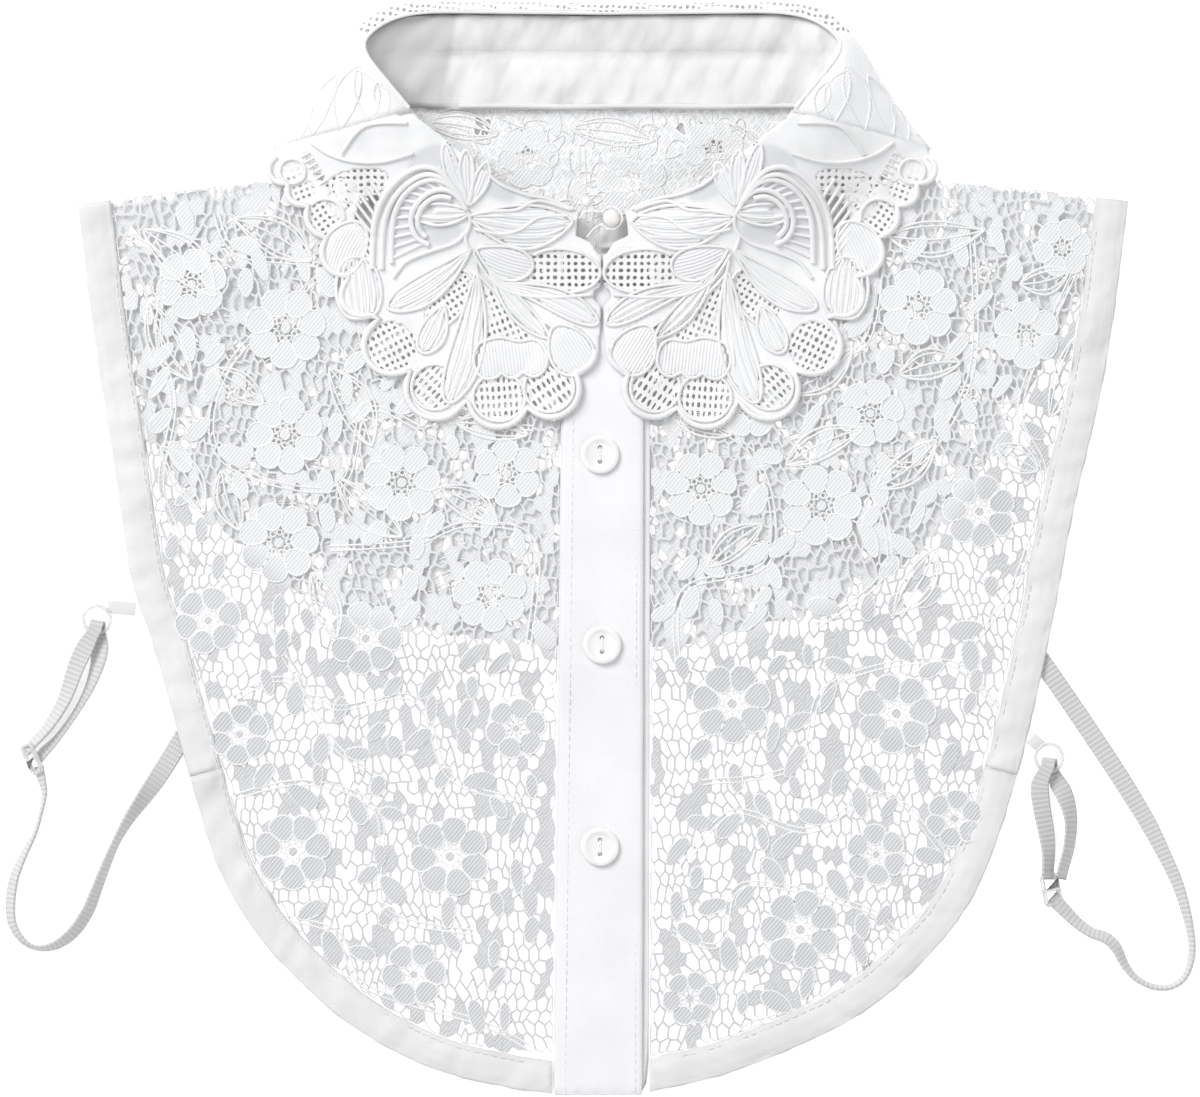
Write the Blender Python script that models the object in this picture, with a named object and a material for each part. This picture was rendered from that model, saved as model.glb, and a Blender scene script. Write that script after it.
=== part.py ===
# A detachable lace collar, laid flat on its back: two lace fronts with a buttoned placket on a
# shorter lace back, a cotton neck stand, a heavy guipure lace fall that turns over it, and an
# elastic strap with a ring and a slider at each side.
# Lengths in the tables are millimetres, +X is the picture's right, +Y its top, +Z up from the
# floor. The wearer's front faces up. The origin is the middle of the floor under the part.
import math

import bmesh
import bpy
from mathutils import Vector, geometry

MM = 0.001

# Driving sizes
SEAM_GAP = 0.3           # clear space left between two pieces at a seam
LAYER_GAP = 0.4          # clear space left between two layers
LACE_THICK = 1.0         # lace cloth wall
HEM_THICK = 1.2          # rolled edge of the back
BINDING_WIDE = 11.0      # cotton binding round the fronts
BINDING_THICK = 1.8
STAND_THICK = 1.2        # cotton neck stand
FALL_THICK = 1.1         # guipure ground
CORD_RISE = 1.1          # padded cord along the scallops
PETAL_RISE = 0.8         # satin petals
PLACKET_THICK = 1.6
UNDER_THICK = 1.2
LAYER_STEP = HEM_THICK + LAYER_GAP - 0.1
BUTTON_WIDE = 12.8
BUTTON_THICK = 2.6
STRAP_WIDE = 6.0
STRAP_THICK = 0.9
RING_OUTER = 5.2
RING_WIRE = 1.5
SLIDER_LONG = 11.0
SLIDER_WIDE = 9.0
SLIDER_THICK = 1.4
PEARL_WIDE = 5.7
PEARL_PLACE = (3.7, 109.8, 9.6)
BEAD_WIDE = 3.6
BEAD_PLACE = (-4.3, 115.2, 9.0)
THREAD_WIDE = 1.0
RING_LEVEL = 2.15        # middle of the ring's wire
RING_GATHER = 0.28       # share of the band's width that the ring gathers in
BINDING_STEP = 7.5       # spacing of the binding's sections
DRAPE_REACH = 46.0       # the fall comes to rest this far from its fold
NECK_RISE_START = 123.5  # the back rises over the turned-in fall between these two lines
NECK_RISE_END = 130.0
NECK_RISE_LINES = (123.5, 126.7, 130.0)
FRONT_RISE_MARGIN = 6.0  # the upper layer stays lifted this far past what it lies on
FRONT_RISE_REACH = 16.0
STRAP_RISE_MARGIN = 8.0
STRAP_RISE_REACH = 20.0
COLLAR_MIDDLE = 0.7      # the collar's own line of symmetry
HEM_END = -182.0         # lower end of the placket
PLACKET_TOP = 98.0
CURVE_STEPS = 12

# Outer edge of the fronts, from the shoulder to the placket
LEFT_EDGE = [
    # x, y
    (-174.0, 114.7), (-168.3, 69.7), (-163.3, 37.5), (-156.0, -10.3), (-149.6, -30.0),
    (-139.0, -67.0), (-128.7, -102.7), (-116.7, -125.3), (-102.3, -142.0), (-83.3, -158.7),
    (-56.7, -173.0), (-30.0, -179.7), (-16.3, -181.6),
]
RIGHT_EDGE = [
    # x, y
    (176.0, 115.7), (168.4, 59.7), (157.8, 13.0), (149.4, -31.0), (138.0, -79.0),
    (125.0, -114.7), (107.0, -138.3), (83.3, -157.3), (45.3, -174.0), (17.0, -181.0),
]
# Lower edge of the back, from the left shoulder to the right one
BACK_EDGE = [
    # x, y
    (-172.0, 114.4), (-165.0, 84.0), (-157.0, 55.0), (-145.3, 28.3), (-131.0, 11.0),
    (-114.3, -4.0), (-97.7, -16.5), (-75.0, -25.5), (-52.3, -29.0), (-15.3, -32.5),
    (15.3, -33.0), (38.0, -30.5), (69.0, -22.5), (85.7, -15.7), (102.0, -5.0),
    (116.7, 10.0), (130.0, 30.7), (144.0, 54.0), (160.0, 84.0), (174.0, 115.3),
]
# The collar's left half, from the front middle round to the back middle: the foot on the
# neckline and the fold where the lace turns over
COLLAR_RINGS = [
    # foot x, foot y, fold x, fold y, fold z
    (-6.2, 100.5, -6.9, 112.0, 8.6),
    (-19.0, 103.0, -17.7, 116.2, 10.5),
    (-34.0, 109.0, -30.7, 120.5, 13.5),
    (-44.0, 115.5, -38.5, 126.0, 15.5),
    (-54.5, 122.0, -47.3, 132.7, 17.5),
    (-62.5, 129.0, -56.0, 139.5, 19.0),
    (-67.5, 135.5, -62.3, 144.7, 19.5),
    (-69.0, 142.0, -71.7, 156.0, 19.0),
    (-67.0, 146.0, -77.5, 163.5, 17.5),
    (-64.0, 147.0, -78.5, 168.8, 16.0),
    (-60.0, 146.8, -74.3, 173.2, 14.6),
    (-55.0, 146.5, -67.0, 177.0, 13.0),
    (-48.0, 146.2, -56.0, 178.3, 11.6),
    (-24.0, 146.0, -25.0, 178.2, 10.4),
    (0.7, 146.0, 0.7, 178.0, 10.0),
]
JOIN_RING = 6            # ring where the front lace fall meets the back one
# The back fall's left half from the join to the back middle: the turn seen from above and the
# edge that lies under the garment
TURN_RINGS = [
    # turn x, turn y, turn z, under x, under y, roundness
    (-109.0, 133.2, 2.9, -92.0, 132.0, 0.0),
    (-99.5, 145.0, 3.6, -80.0, 132.5, 0.5),
    (-90.0, 161.0, 4.6, -68.0, 133.0, 0.9),
    (-83.8, 170.0, 5.2, -59.0, 133.0, 1.0),
    (-78.0, 176.2, 5.2, -51.0, 132.7, 1.0),
    (-70.0, 180.4, 5.0, -43.0, 132.2, 1.0),
    (-57.5, 182.0, 4.6, -34.0, 131.6, 1.0),
    (-25.0, 182.0, 4.3, -15.0, 131.1, 1.0),
    (0.7, 182.0, 4.2, 0.7, 131.0, 1.0),
]
# Scallops along the left fall's outer edge, from the shoulder to the front middle
SCALLOPS = [
    # x, y, radius
    (-105.7, 126.3, 5.5),
    (-99.6, 119.0, 5.5),
    (-90.7, 111.0, 8.0),
    (-85.0, 98.5, 8.5),
    (-79.2, 84.3, 7.8),
    (-69.3, 67.5, 10.3),
    (-54.5, 53.3, 11.0),
    (-34.0, 50.3, 10.8),
    (-16.5, 53.3, 10.5),
    (-8.3, 65.8, 7.7),
]
# Raised satin petals of the left fall, each along a line
PETALS = [
    # x1, y1, x2, y2, width
    (-44.0, 98.0, -67.0, 84.0, 9.0),
    (-42.0, 94.0, -52.0, 50.0, 8.0),
    (-40.0, 92.0, -33.0, 62.0, 12.0),
    (-38.0, 92.0, -17.0, 68.0, 8.0),
    (-36.0, 95.0, -3.0, 77.0, 8.0),
    (-42.0, 112.0, -9.0, 108.0, 12.0),
    (-43.0, 112.0, -60.0, 106.0, 14.0),
    (-63.0, 118.0, -72.0, 92.0, 8.0),
    (-79.0, 98.0, -79.0, 82.0, 9.0),
    (-58.0, 132.0, -78.0, 134.0, 13.0),
    (-46.0, 120.0, -50.0, 128.0, 8.0),
]
# Soft folds of the fronts that lift the lace
CREASES = [
    # x1, y1, x2, y2, height, half width
    (-146.0, 108.0, -150.0, 42.0, 1.8, 13.0),
    (-118.0, 106.0, -128.0, 60.0, 1.2, 12.0),
    (-96.0, 20.0, -60.0, -10.0, 0.8, 14.0),
    (-112.0, -60.0, -92.0, -120.0, 0.9, 14.0),
    (-55.0, -120.0, -40.0, -168.0, 0.7, 12.0),
    (150.0, 106.0, 138.0, 44.0, 1.5, 13.0),
    (118.0, 108.0, 108.0, 66.0, 1.1, 12.0),
    (60.0, -20.0, 96.0, 2.0, 0.8, 14.0),
    (118.0, -50.0, 104.0, -112.0, 0.8, 13.0),
    (40.0, -130.0, 60.0, -160.0, 0.6, 12.0),
]
# Flowers of the lace, whose petals are never cut through
FLOWERS = [
    # x, y, radius
    (-104.7, 73.3, 13.0), (-104.7, 37.7, 12.0), (-107.0, 2.0, 13.0), (-126.3, -26.7, 11.0),
    (-76.3, -27.7, 12.0), (-66.7, -12.3, 11.0), (-35.7, -14.7, 12.0), (-102.3, -102.7, 13.0),
    (-50.0, -102.7, 13.0), (22.7, 20.0, 12.0), (73.7, 16.3, 13.0), (126.3, 16.3, 12.0),
    (106.0, 80.7, 12.0), (143.0, 71.0, 11.0), (44.0, -51.7, 13.0), (98.7, -55.0, 13.0),
    (66.7, -129.0, 13.0), (10.7, 123.3, 9.0),
]
NET_PITCH_X = 5.2
NET_PITCH_Y = 6.6
NET_GAP_WIDE = 4.3       # a cut gap of the net
NET_GAP_TALL = 6.0
NET_CUT_EVERY = 4        # every fourth gap of the even net is cut through

BUTTON_PLACES = [
    # x, y
    (0.0, 31.3), (0.7, -32.0), (0.0, -99.3),
]

# Elastic straps: each row is a point of the middle line, how far the band is turned on edge
# in degrees, and how far it is lifted off what it would rest on
LEFT_LONG = [
    # x, y, turn, lift
    (-185.9, -77.0, 66.0, 0.6), (-185.0, -81.5, 76.0, 0.0), (-186.1, -87.7, 82.0, 0.0),
    (-188.0, -94.3, 80.0, 0.0), (-191.4, -101.0, 72.0, 0.0), (-194.9, -109.0, 62.0, 0.0),
    (-196.3, -117.3, 60.0, 0.0), (-195.8, -124.9, 64.0, 0.0), (-192.4, -130.4, 72.0, 0.0),
    (-187.6, -133.0, 78.0, 0.0), (-181.5, -132.2, 66.0, 0.0), (-175.5, -127.8, 54.0, 0.0),
    (-170.8, -121.0, 54.0, 0.0), (-167.9, -114.0, 60.0, 0.0), (-164.8, -106.0, 66.0, 0.0),
    (-161.1, -97.5, 70.0, 0.0), (-156.9, -90.0, 58.0, 0.0), (-152.8, -84.0, 40.0, 0.0),
    (-148.2, -77.4, 18.0, 0.0), (-143.6, -70.3, 0.0, 0.0), (-138.0, -61.0, 0.0, 0.0),
    (-130.0, -47.0, 0.0, 0.0), (-122.0, -32.0, 0.0, 0.0), (-114.5, -16.0, 0.0, 0.0),
]
RIGHT_LONG = [
    # x, y, turn, lift
    (153.4, -119.2, -46.0, 0.6), (156.4, -122.2, -52.0, 0.0), (159.7, -125.3, -58.0, 0.0),
    (164.0, -128.1, -62.0, 0.0), (168.6, -129.6, -58.0, 0.0), (172.0, -133.0, -58.0, 0.0),
    (174.5, -138.2, -66.0, 0.0), (178.4, -143.0, -76.0, 0.0), (184.2, -145.9, -80.0, 0.0),
    (190.2, -145.9, -82.0, 0.0), (194.8, -142.4, -80.0, 0.0), (197.0, -135.6, -78.0, 0.0),
    (196.8, -129.0, -76.0, 0.0), (195.3, -121.6, -68.0, 0.0), (192.4, -111.9, -58.0, 0.0),
    (188.1, -102.3, -48.0, 0.0), (182.3, -90.9, -30.0, 0.0), (174.3, -77.7, -16.0, 0.0),
    (165.6, -64.5, -8.0, 0.0), (156.8, -51.5, 0.0, 0.0), (147.5, -38.0, 0.0, 0.0),
    (138.0, -25.0, 0.0, 0.0), (128.0, -12.0, 0.0, 0.0), (119.5, -1.0, 0.0, 0.0),
]
# Each loop runs from the slider, under the ring's wire, up through the ring and back on top
LOOPS = {
    "left": {
        "ring": (-167.6, -23.6),
        "lower": [
            # x, y, turn, z
            (-184.6, -67.2, 62.0, 3.3), (-180.6, -63.0, 72.0, 3.3), (-175.0, -55.3, 74.0, 3.3),
            (-170.3, -47.0, 64.0, 3.2), (-167.4, -38.5, 42.0, 2.7), (-166.6, -31.5, 12.0, 1.2),
            (-167.2, -26.6, 0.0, 0.5),
        ],
        "upper": [
            # x, y, turn, z
            (-168.1, -27.0, 0.0, 4.0), (-171.2, -32.5, 6.0, 4.2), (-174.6, -40.0, 22.0, 4.0),
            (-178.2, -50.0, 44.0, 3.6), (-183.2, -58.6, 58.0, 4.0), (-188.6, -64.8, 62.0, 4.9),
        ],
        "slider": (-189.1, -70.0, 4.4),
        "slider_along": (0.42, -0.91),
        "slider_turn": 62.0,
        "tab": [
            # x, y
            (-154.9, -20.2), (-159.5, -19.7), (-164.3, -19.3),
        ],
    },
    "right": {
        "ring": (149.6, -69.6),
        "lower": [
            # x, y, turn, z
            (154.4, -106.2, -56.0, 3.2), (156.3, -98.7, -54.0, 3.1), (156.8, -90.0, -48.0, 2.9),
            (154.8, -82.0, -24.0, 1.9), (151.6, -76.4, -6.0, 0.9), (150.2, -72.6, 0.0, 0.5),
        ],
        "upper": [
            # x, y, turn, z
            (149.0, -72.8, 0.0, 4.0), (146.4, -78.5, -4.0, 4.1), (147.0, -86.5, -16.0, 3.8),
            (148.6, -95.0, -30.0, 3.6), (149.2, -101.2, -44.0, 4.1), (149.0, -106.6, -50.0, 4.4),
        ],
        "slider": (150.2, -113.6, 3.9),
        "slider_along": (0.18, -0.98),
        "slider_turn": -50.0,
        "tab": [
            # x, y
            (143.5, -63.0), (147.4, -66.4),
        ],
    },
}


def clear_scene():
    for item in list(bpy.context.scene.objects):
        bpy.data.objects.remove(item, do_unlink=True)


def principled(name, colour, roughness, metallic=0.0):
    made = bpy.data.materials.new(name)
    made.use_nodes = True
    shader = made.node_tree.nodes["Principled BSDF"]
    shader.inputs["Base Color"].default_value = (*colour, 1.0)
    shader.inputs["Roughness"].default_value = roughness
    shader.inputs["Metallic"].default_value = metallic
    return made


# Plan geometry

def ramp(value, start, end):
    """0 before start, 1 after end and smooth between."""
    t = min(max((value - start) / (end - start), 0.0), 1.0)
    return t * t * (3.0 - 2.0 * t)


def catmull(a, b, c, d, t):
    """One coordinate of the smooth curve between b and c."""
    return 0.5 * (2 * b + (c - a) * t + (2 * a - 5 * b + 4 * c - d) * t ** 2
                  + (3 * b - a - 3 * c + d) * t ** 3)


def smooth_rows(rows):
    """Many rows on a smooth curve through the given rows."""
    last = len(rows) - 1
    fine = []
    for i in range(last):
        around = (rows[max(i - 1, 0)], rows[i], rows[i + 1], rows[min(i + 2, last)])
        for k in range(CURVE_STEPS):
            t = k / CURVE_STEPS
            fine.append(tuple(catmull(a, b, c, d, t) for a, b, c, d in zip(*around)))
    fine.append(tuple(rows[last]))
    return fine


def even_rows(rows, spacing):
    """Rows at even distances in plan along a path of rows."""
    reached = [0.0]
    for before, after in zip(rows, rows[1:]):
        reached.append(reached[-1] + math.hypot(after[0] - before[0], after[1] - before[1]))
    count = max(2, round(reached[-1] / spacing))
    made = []
    k = 0
    for i in range(count + 1):
        want = reached[-1] * i / count
        while k < len(rows) - 2 and reached[k + 1] < want:
            k += 1
        t = (want - reached[k]) / max(reached[k + 1] - reached[k], 1e-9)
        made.append(tuple(a + (b - a) * t for a, b in zip(rows[k], rows[k + 1])))
    return made


def curve(rows, spacing):
    return even_rows(smooth_rows(rows), spacing)


def offset_path(path, distance):
    """The path moved to its left by a distance."""
    moved = []
    for i, point in enumerate(path):
        before = path[max(i - 1, 0)]
        after = path[min(i + 1, len(path) - 1)]
        dx, dy = after[0] - before[0], after[1] - before[1]
        long = math.hypot(dx, dy)
        moved.append((point[0] - dy / long * distance, point[1] + dx / long * distance))
    return moved


def path_distance(path, x, y, closed=False):
    """Distance from a point to a path in plan, and how far along the path in rows."""
    best, where = 1e9, 0.0
    last = len(path) if closed else len(path) - 1
    for i in range(last):
        ax, ay = path[i][0], path[i][1]
        bx, by = path[(i + 1) % len(path)][0], path[(i + 1) % len(path)][1]
        dx, dy = bx - ax, by - ay
        t = ((x - ax) * dx + (y - ay) * dy) / max(dx * dx + dy * dy, 1e-9)
        t = min(max(t, 0.0), 1.0)
        away = math.hypot(ax + dx * t - x, ay + dy * t - y)
        if away < best:
            best, where = away, i + t
    return best, where


def inside(outline, x, y):
    """True when a point lies in the outline."""
    hit = False
    for i in range(len(outline)):
        ax, ay = outline[i - 1]
        bx, by = outline[i]
        if (ay > y) != (by > y) and x < (bx - ax) * (y - ay) / (by - ay) + ax:
            hit = not hit
    return hit


def grid_points(outline, pitch, margin):
    """Staggered points over an outline, clear of its edge."""
    xs = [p[0] for p in outline]
    ys = [p[1] for p in outline]
    made = []
    row = 0
    y = min(ys) + margin
    while y < max(ys):
        x = min(xs) + (pitch / 2 if row % 2 else 0.0)
        while x < max(xs):
            if inside(outline, x, y) and path_distance(outline, x, y, True)[0] > margin:
                made.append((x, y))
            x += pitch
        y += pitch * 0.87
        row += 1
    return made


# Solids

def add_object(name, mesh_data, finish, smooth=True):
    """An object with its own mesh and material, in metres."""
    bmesh.ops.recalc_face_normals(mesh_data, faces=mesh_data.faces)
    bmesh.ops.scale(mesh_data, vec=(MM, MM, MM), verts=mesh_data.verts)
    mesh = bpy.data.meshes.new(name)
    mesh_data.to_mesh(mesh)
    mesh_data.free()
    mesh.materials.append(finish)
    if smooth:
        mesh.shade_smooth()
        mesh.set_sharp_from_angle(angle=math.radians(40.0))
    made = bpy.data.objects.new(name, mesh)
    bpy.context.scene.collection.objects.link(made)
    return made


def plate(name, outline, holes, points, bottom, top, finish):
    """A wall over an outline in plan, between two heights that are functions of x and y."""
    spots, edges = [], []
    for loop in [outline] + holes:
        first = len(spots)
        spots += [Vector(p) for p in loop]
        edges += [(first + i, first + (i + 1) % len(loop)) for i in range(len(loop))]
    hole_gap = 1.2
    for point in points:
        if all(path_distance(hole, *point, True)[0] > hole_gap for hole in holes
               if abs(hole[0][0] - point[0]) < 12.0 and abs(hole[0][1] - point[1]) < 12.0):
            spots.append(Vector(point))
    within_edges = 1
    cut = geometry.delaunay_2d_cdt(spots, edges, [], within_edges, 1e-5)
    flat, triangles = cut[0], cut[2]
    kept = []
    for a, b, c in triangles:
        middle = (flat[a] + flat[b] + flat[c]) / 3.0
        if not any(inside(hole, middle.x, middle.y) for hole in holes):
            kept.append((a, b, c))
    shape = bmesh.new()
    lower = {}
    upper = {}
    for i in sorted({i for face in kept for i in face}):
        x, y = flat[i]
        lower[i] = shape.verts.new((x, y, bottom(x, y)))
        upper[i] = shape.verts.new((x, y, top(x, y)))
    rim = {}
    for a, b, c in kept:
        shape.faces.new((upper[a], upper[b], upper[c]))
        shape.faces.new((lower[c], lower[b], lower[a]))
        for pair in ((a, b), (b, c), (c, a)):
            if pair[::-1] in rim:
                del rim[pair[::-1]]
            else:
                rim[pair] = True
    for a, b in rim:
        shape.faces.new((lower[a], lower[b], upper[b], upper[a]))
    return add_object(name, shape, finish)


def wall(name, rows, thick, finish):
    """A wall of one thickness behind a grid of points, closed along all four edges."""
    count, across = len(rows), len(rows[0])
    points = [[Vector(p) for p in row] for row in rows]
    shape = bmesh.new()
    front = [[shape.verts.new(p) for p in row] for row in points]
    back = []
    for i in range(count):
        line = []
        for j in range(across):
            along = points[min(i + 1, count - 1)][j] - points[max(i - 1, 0)][j]
            over = points[i][min(j + 1, across - 1)] - points[i][max(j - 1, 0)]
            line.append(shape.verts.new(points[i][j] - along.cross(over).normalized() * thick))
        back.append(line)
    for i in range(count - 1):
        for j in range(across - 1):
            shape.faces.new((front[i][j], front[i + 1][j], front[i + 1][j + 1], front[i][j + 1]))
            shape.faces.new((back[i][j], back[i][j + 1], back[i + 1][j + 1], back[i + 1][j]))
    for i in range(count - 1):
        shape.faces.new((front[i][0], back[i][0], back[i + 1][0], front[i + 1][0]))
        shape.faces.new((front[i + 1][-1], back[i + 1][-1], back[i][-1], front[i][-1]))
    for j in range(across - 1):
        shape.faces.new((front[0][j + 1], back[0][j + 1], back[0][j], front[0][j]))
        shape.faces.new((front[-1][j], back[-1][j], back[-1][j + 1], front[-1][j + 1]))
    bmesh.ops.triangulate(shape, faces=shape.faces)
    return add_object(name, shape, finish)


def loft(name, sections, finish, smooth=True):
    """A closed solid through sections that each have the same number of corners."""
    shape = bmesh.new()
    rings = [[shape.verts.new(corner) for corner in section] for section in sections]
    corners = len(rings[0])
    for before, after in zip(rings, rings[1:]):
        for k in range(corners):
            n = (k + 1) % corners
            shape.faces.new((before[k], before[n], after[n], after[k]))
    shape.faces.new(rings[0][::-1])
    shape.faces.new(rings[-1])
    bmesh.ops.triangulate(shape, faces=shape.faces)
    return add_object(name, shape, finish, smooth)


# Heights of the layers

BACK_HEM = curve(BACK_EDGE, 9.0)
NECK_LEFT = [(row[0], row[1]) for row in COLLAR_RINGS]


def mirrored(point):
    """A point of the collar's left half on its right half."""
    return (2 * COLLAR_MIDDLE - point[0], *point[1:])


NECK_LINE = NECK_LEFT + [mirrored(p) for p in reversed(NECK_LEFT[:-1])]
FOLD_LEFT = smooth_rows([row[2:] for row in COLLAR_RINGS])
SHOULDER_LEFT = (-65.0, 128.6)
SHOULDER_RIGHT = mirrored(SHOULDER_LEFT)
STRAP_UNDER = [[row[:2] for row in LEFT_LONG[-6:]], [row[:2] for row in RIGHT_LONG[-6:]]]


def back_outline():
    """The back: its bound edge, the shoulder seams and the neck under the stand."""
    inset = 2.5
    neck = [(x, y + inset) for x, y in NECK_LINE if y > 140.0]
    right = even_rows([BACK_HEM[-1], SHOULDER_RIGHT], 12.0)[1:]
    left = even_rows([SHOULDER_LEFT, BACK_HEM[0]], 12.0)[:-1]
    return BACK_HEM + right + neck[::-1] + left


BACK_OUTLINE = back_outline()


def back_bottom(x, y):
    """The back lies on the floor and rises over the fall that is folded under the neck."""
    return (FALL_THICK + LAYER_GAP) * ramp(y, NECK_RISE_START, NECK_RISE_END)


def over_back(x, y):
    """1 where the fronts lie on the back, 0 well outside it."""
    if inside(BACK_OUTLINE, x, y):
        return 1.0
    away = path_distance(BACK_OUTLINE, x, y, True)[0]
    return 1.0 - ramp(away, FRONT_RISE_MARGIN, FRONT_RISE_REACH)


def over_straps(x, y):
    """1 where the fronts lie on a strap, 0 well beside it."""
    away = min(path_distance(path, x, y)[0] for path in STRAP_UNDER)
    return 1.0 - ramp(away, STRAP_RISE_MARGIN, STRAP_RISE_REACH)


def crease_lift(x, y):
    """How far the soft folds lift the fronts."""
    lift = 0.0
    for x1, y1, x2, y2, height, half in CREASES:
        away = path_distance([(x1, y1), (x2, y2)], x, y)[0]
        lift += height * (1.0 - ramp(away, 0.0, half))
    return lift


def front_base(x, y):
    """Underside of the fronts without their folds."""
    step = LAYER_STEP * over_back(x, y)
    return back_bottom(x, y) + max(step, (STRAP_THICK + LAYER_GAP + 0.2) * over_straps(x, y))


def front_bottom(x, y):
    return front_base(x, y) + crease_lift(x, y)


def front_top(x, y):
    return front_bottom(x, y) + LACE_THICK


# Back and fronts

def gap_shape(x, y):
    """A six-sided gap of the net, taller than wide."""
    wide, tall = NET_GAP_WIDE / 2, NET_GAP_TALL / 2
    return [(x, y - tall), (x + wide, y - tall * 0.45), (x + wide, y + tall * 0.45),
            (x, y + tall), (x - wide, y + tall * 0.45), (x - wide, y - tall * 0.45)]


def net_gaps(outline, low, high):
    """Cut gaps of the net, where one layer of lace lies alone."""
    xs = [p[0] for p in outline]
    made = []
    column_range = range(int(min(xs) / NET_PITCH_X), int(max(xs) / NET_PITCH_X) + 1)
    row_range = range(int(low / NET_PITCH_Y), int(high / NET_PITCH_Y) + 1)
    edge_margin = NET_GAP_TALL / 2 + 3.0
    for column in column_range:
        for row in row_range:
            if (column + 2 * row) % NET_CUT_EVERY:
                continue
            x = column * NET_PITCH_X + 0.5 * math.sin(row * 2.1)
            y = (row + 0.5 * (column % 2)) * NET_PITCH_Y + 0.5 * math.sin(column * 1.7)
            if not inside(outline, x, y):
                continue
            if path_distance(outline, x, y, True)[0] < edge_margin:
                continue
            if any(math.hypot(x - fx, y - fy) < reach for fx, fy, reach in FLOWERS):
                continue
            made.append((x, y))
    return made


def make_back(finish):
    rim_line = offset_path(BACK_HEM, 4.0)
    gaps = [(x, y) for x, y in net_gaps(BACK_OUTLINE, 112.0, 140.0)
            if abs(x - COLLAR_MIDDLE) < 52.0 and y > 116.0 and path_distance(NECK_LINE, x, y)[0] > 9.0]
    holes = [gap_shape(x, y) for x, y in gaps]
    points = rim_line[1:-1:2] + grid_points(BACK_OUTLINE, 26.0, 8.0)
    points += [(x, y) for y in NECK_RISE_LINES for x in range(-108, 109, 12)
               if inside(BACK_OUTLINE, x, y)]

    def top(x, y):
        rolled = 1.0 - ramp(path_distance(BACK_HEM, x, y)[0], 1.0, 4.0)
        return back_bottom(x, y) + LACE_THICK + (HEM_THICK - LACE_THICK) * rolled

    plate("back_panel", BACK_OUTLINE, holes, points, back_bottom, top, finish)
    return len(holes)


def placket_left(y):
    return -12.3 - 3.4 * (PLACKET_TOP - y) / (PLACKET_TOP - HEM_END)


def placket_right(y):
    return 14.5 - 0.5 * (PLACKET_TOP - y) / (PLACKET_TOP - HEM_END)


def under_right(y):
    return placket_right(y) + 2.3


def front_outline(side):
    """One lace front inside its binding, placket, neckline and shoulder seam."""
    edge = curve(LEFT_EDGE if side < 0 else RIGHT_EDGE, 11.0)
    inner = offset_path(edge, -side * (BINDING_WIDE + SEAM_GAP))
    edge_x = placket_left if side < 0 else under_right
    low = HEM_END + BINDING_WIDE + 1.5
    step_start = min(p[1] for p in BACK_HEM) - FRONT_RISE_MARGIN - 0.5
    step_end = step_start - FRONT_RISE_REACH + FRONT_RISE_MARGIN
    levels = [row[1] for row in even_rows([(0.0, low), (0.0, step_end)], 14.0)]
    levels += [row[1] for row in even_rows([(0.0, step_start), (0.0, PLACKET_TOP - 2.0)], 14.0)]
    placket = [(edge_x(y) + side * SEAM_GAP, y) for y in levels]
    neck = [(x, y + 1.5) for x, y in NECK_LEFT[1:6]]
    if side > 0:
        neck = [mirrored(p) for p in neck]
    shoulder = SHOULDER_LEFT if side < 0 else SHOULDER_RIGHT
    top_end = inner[0]
    inner = [p for p in inner if abs(p[0]) > abs(edge_x(HEM_END)) + 3.0]
    seam = even_rows([shoulder, top_end], 12.0)[:-1]
    outline = inner + placket + neck + seam
    return outline if side < 0 else outline[::-1]


def make_front(name, side, finish):
    outline = front_outline(side)
    gaps = [(x, y) for x, y in net_gaps(outline, HEM_END, 60.0)
            if over_back(x, y) < 0.3 and over_straps(x, y) < 0.05]
    holes = [gap_shape(x, y) for x, y in gaps]
    points = grid_points(outline, 21.0, 6.0)
    hem = even_rows(BACK_HEM, 14.0)
    for distance in (FRONT_RISE_MARGIN, FRONT_RISE_REACH):
        for x, y in offset_path(hem, -distance):
            if inside(outline, x, y) and path_distance(outline, x, y, True)[0] > 3.0:
                points.append((x, y))
    strap = even_rows(STRAP_UNDER[0 if side < 0 else 1], 9.0)
    for distance in (-STRAP_RISE_MARGIN, 0.0, STRAP_RISE_MARGIN):
        for x, y in offset_path(strap, distance):
            if inside(outline, x, y) and path_distance(outline, x, y, True)[0] > 3.0:
                points.append((x, y))
    for y in NECK_RISE_LINES:
        points += [(x, y) for x in range(-108, 109, 12)
                   if inside(outline, x, y) and path_distance(outline, x, y, True)[0] > 1.5]
    plate(name, outline, holes, points, front_bottom, front_top, finish)
    return len(holes)


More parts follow.
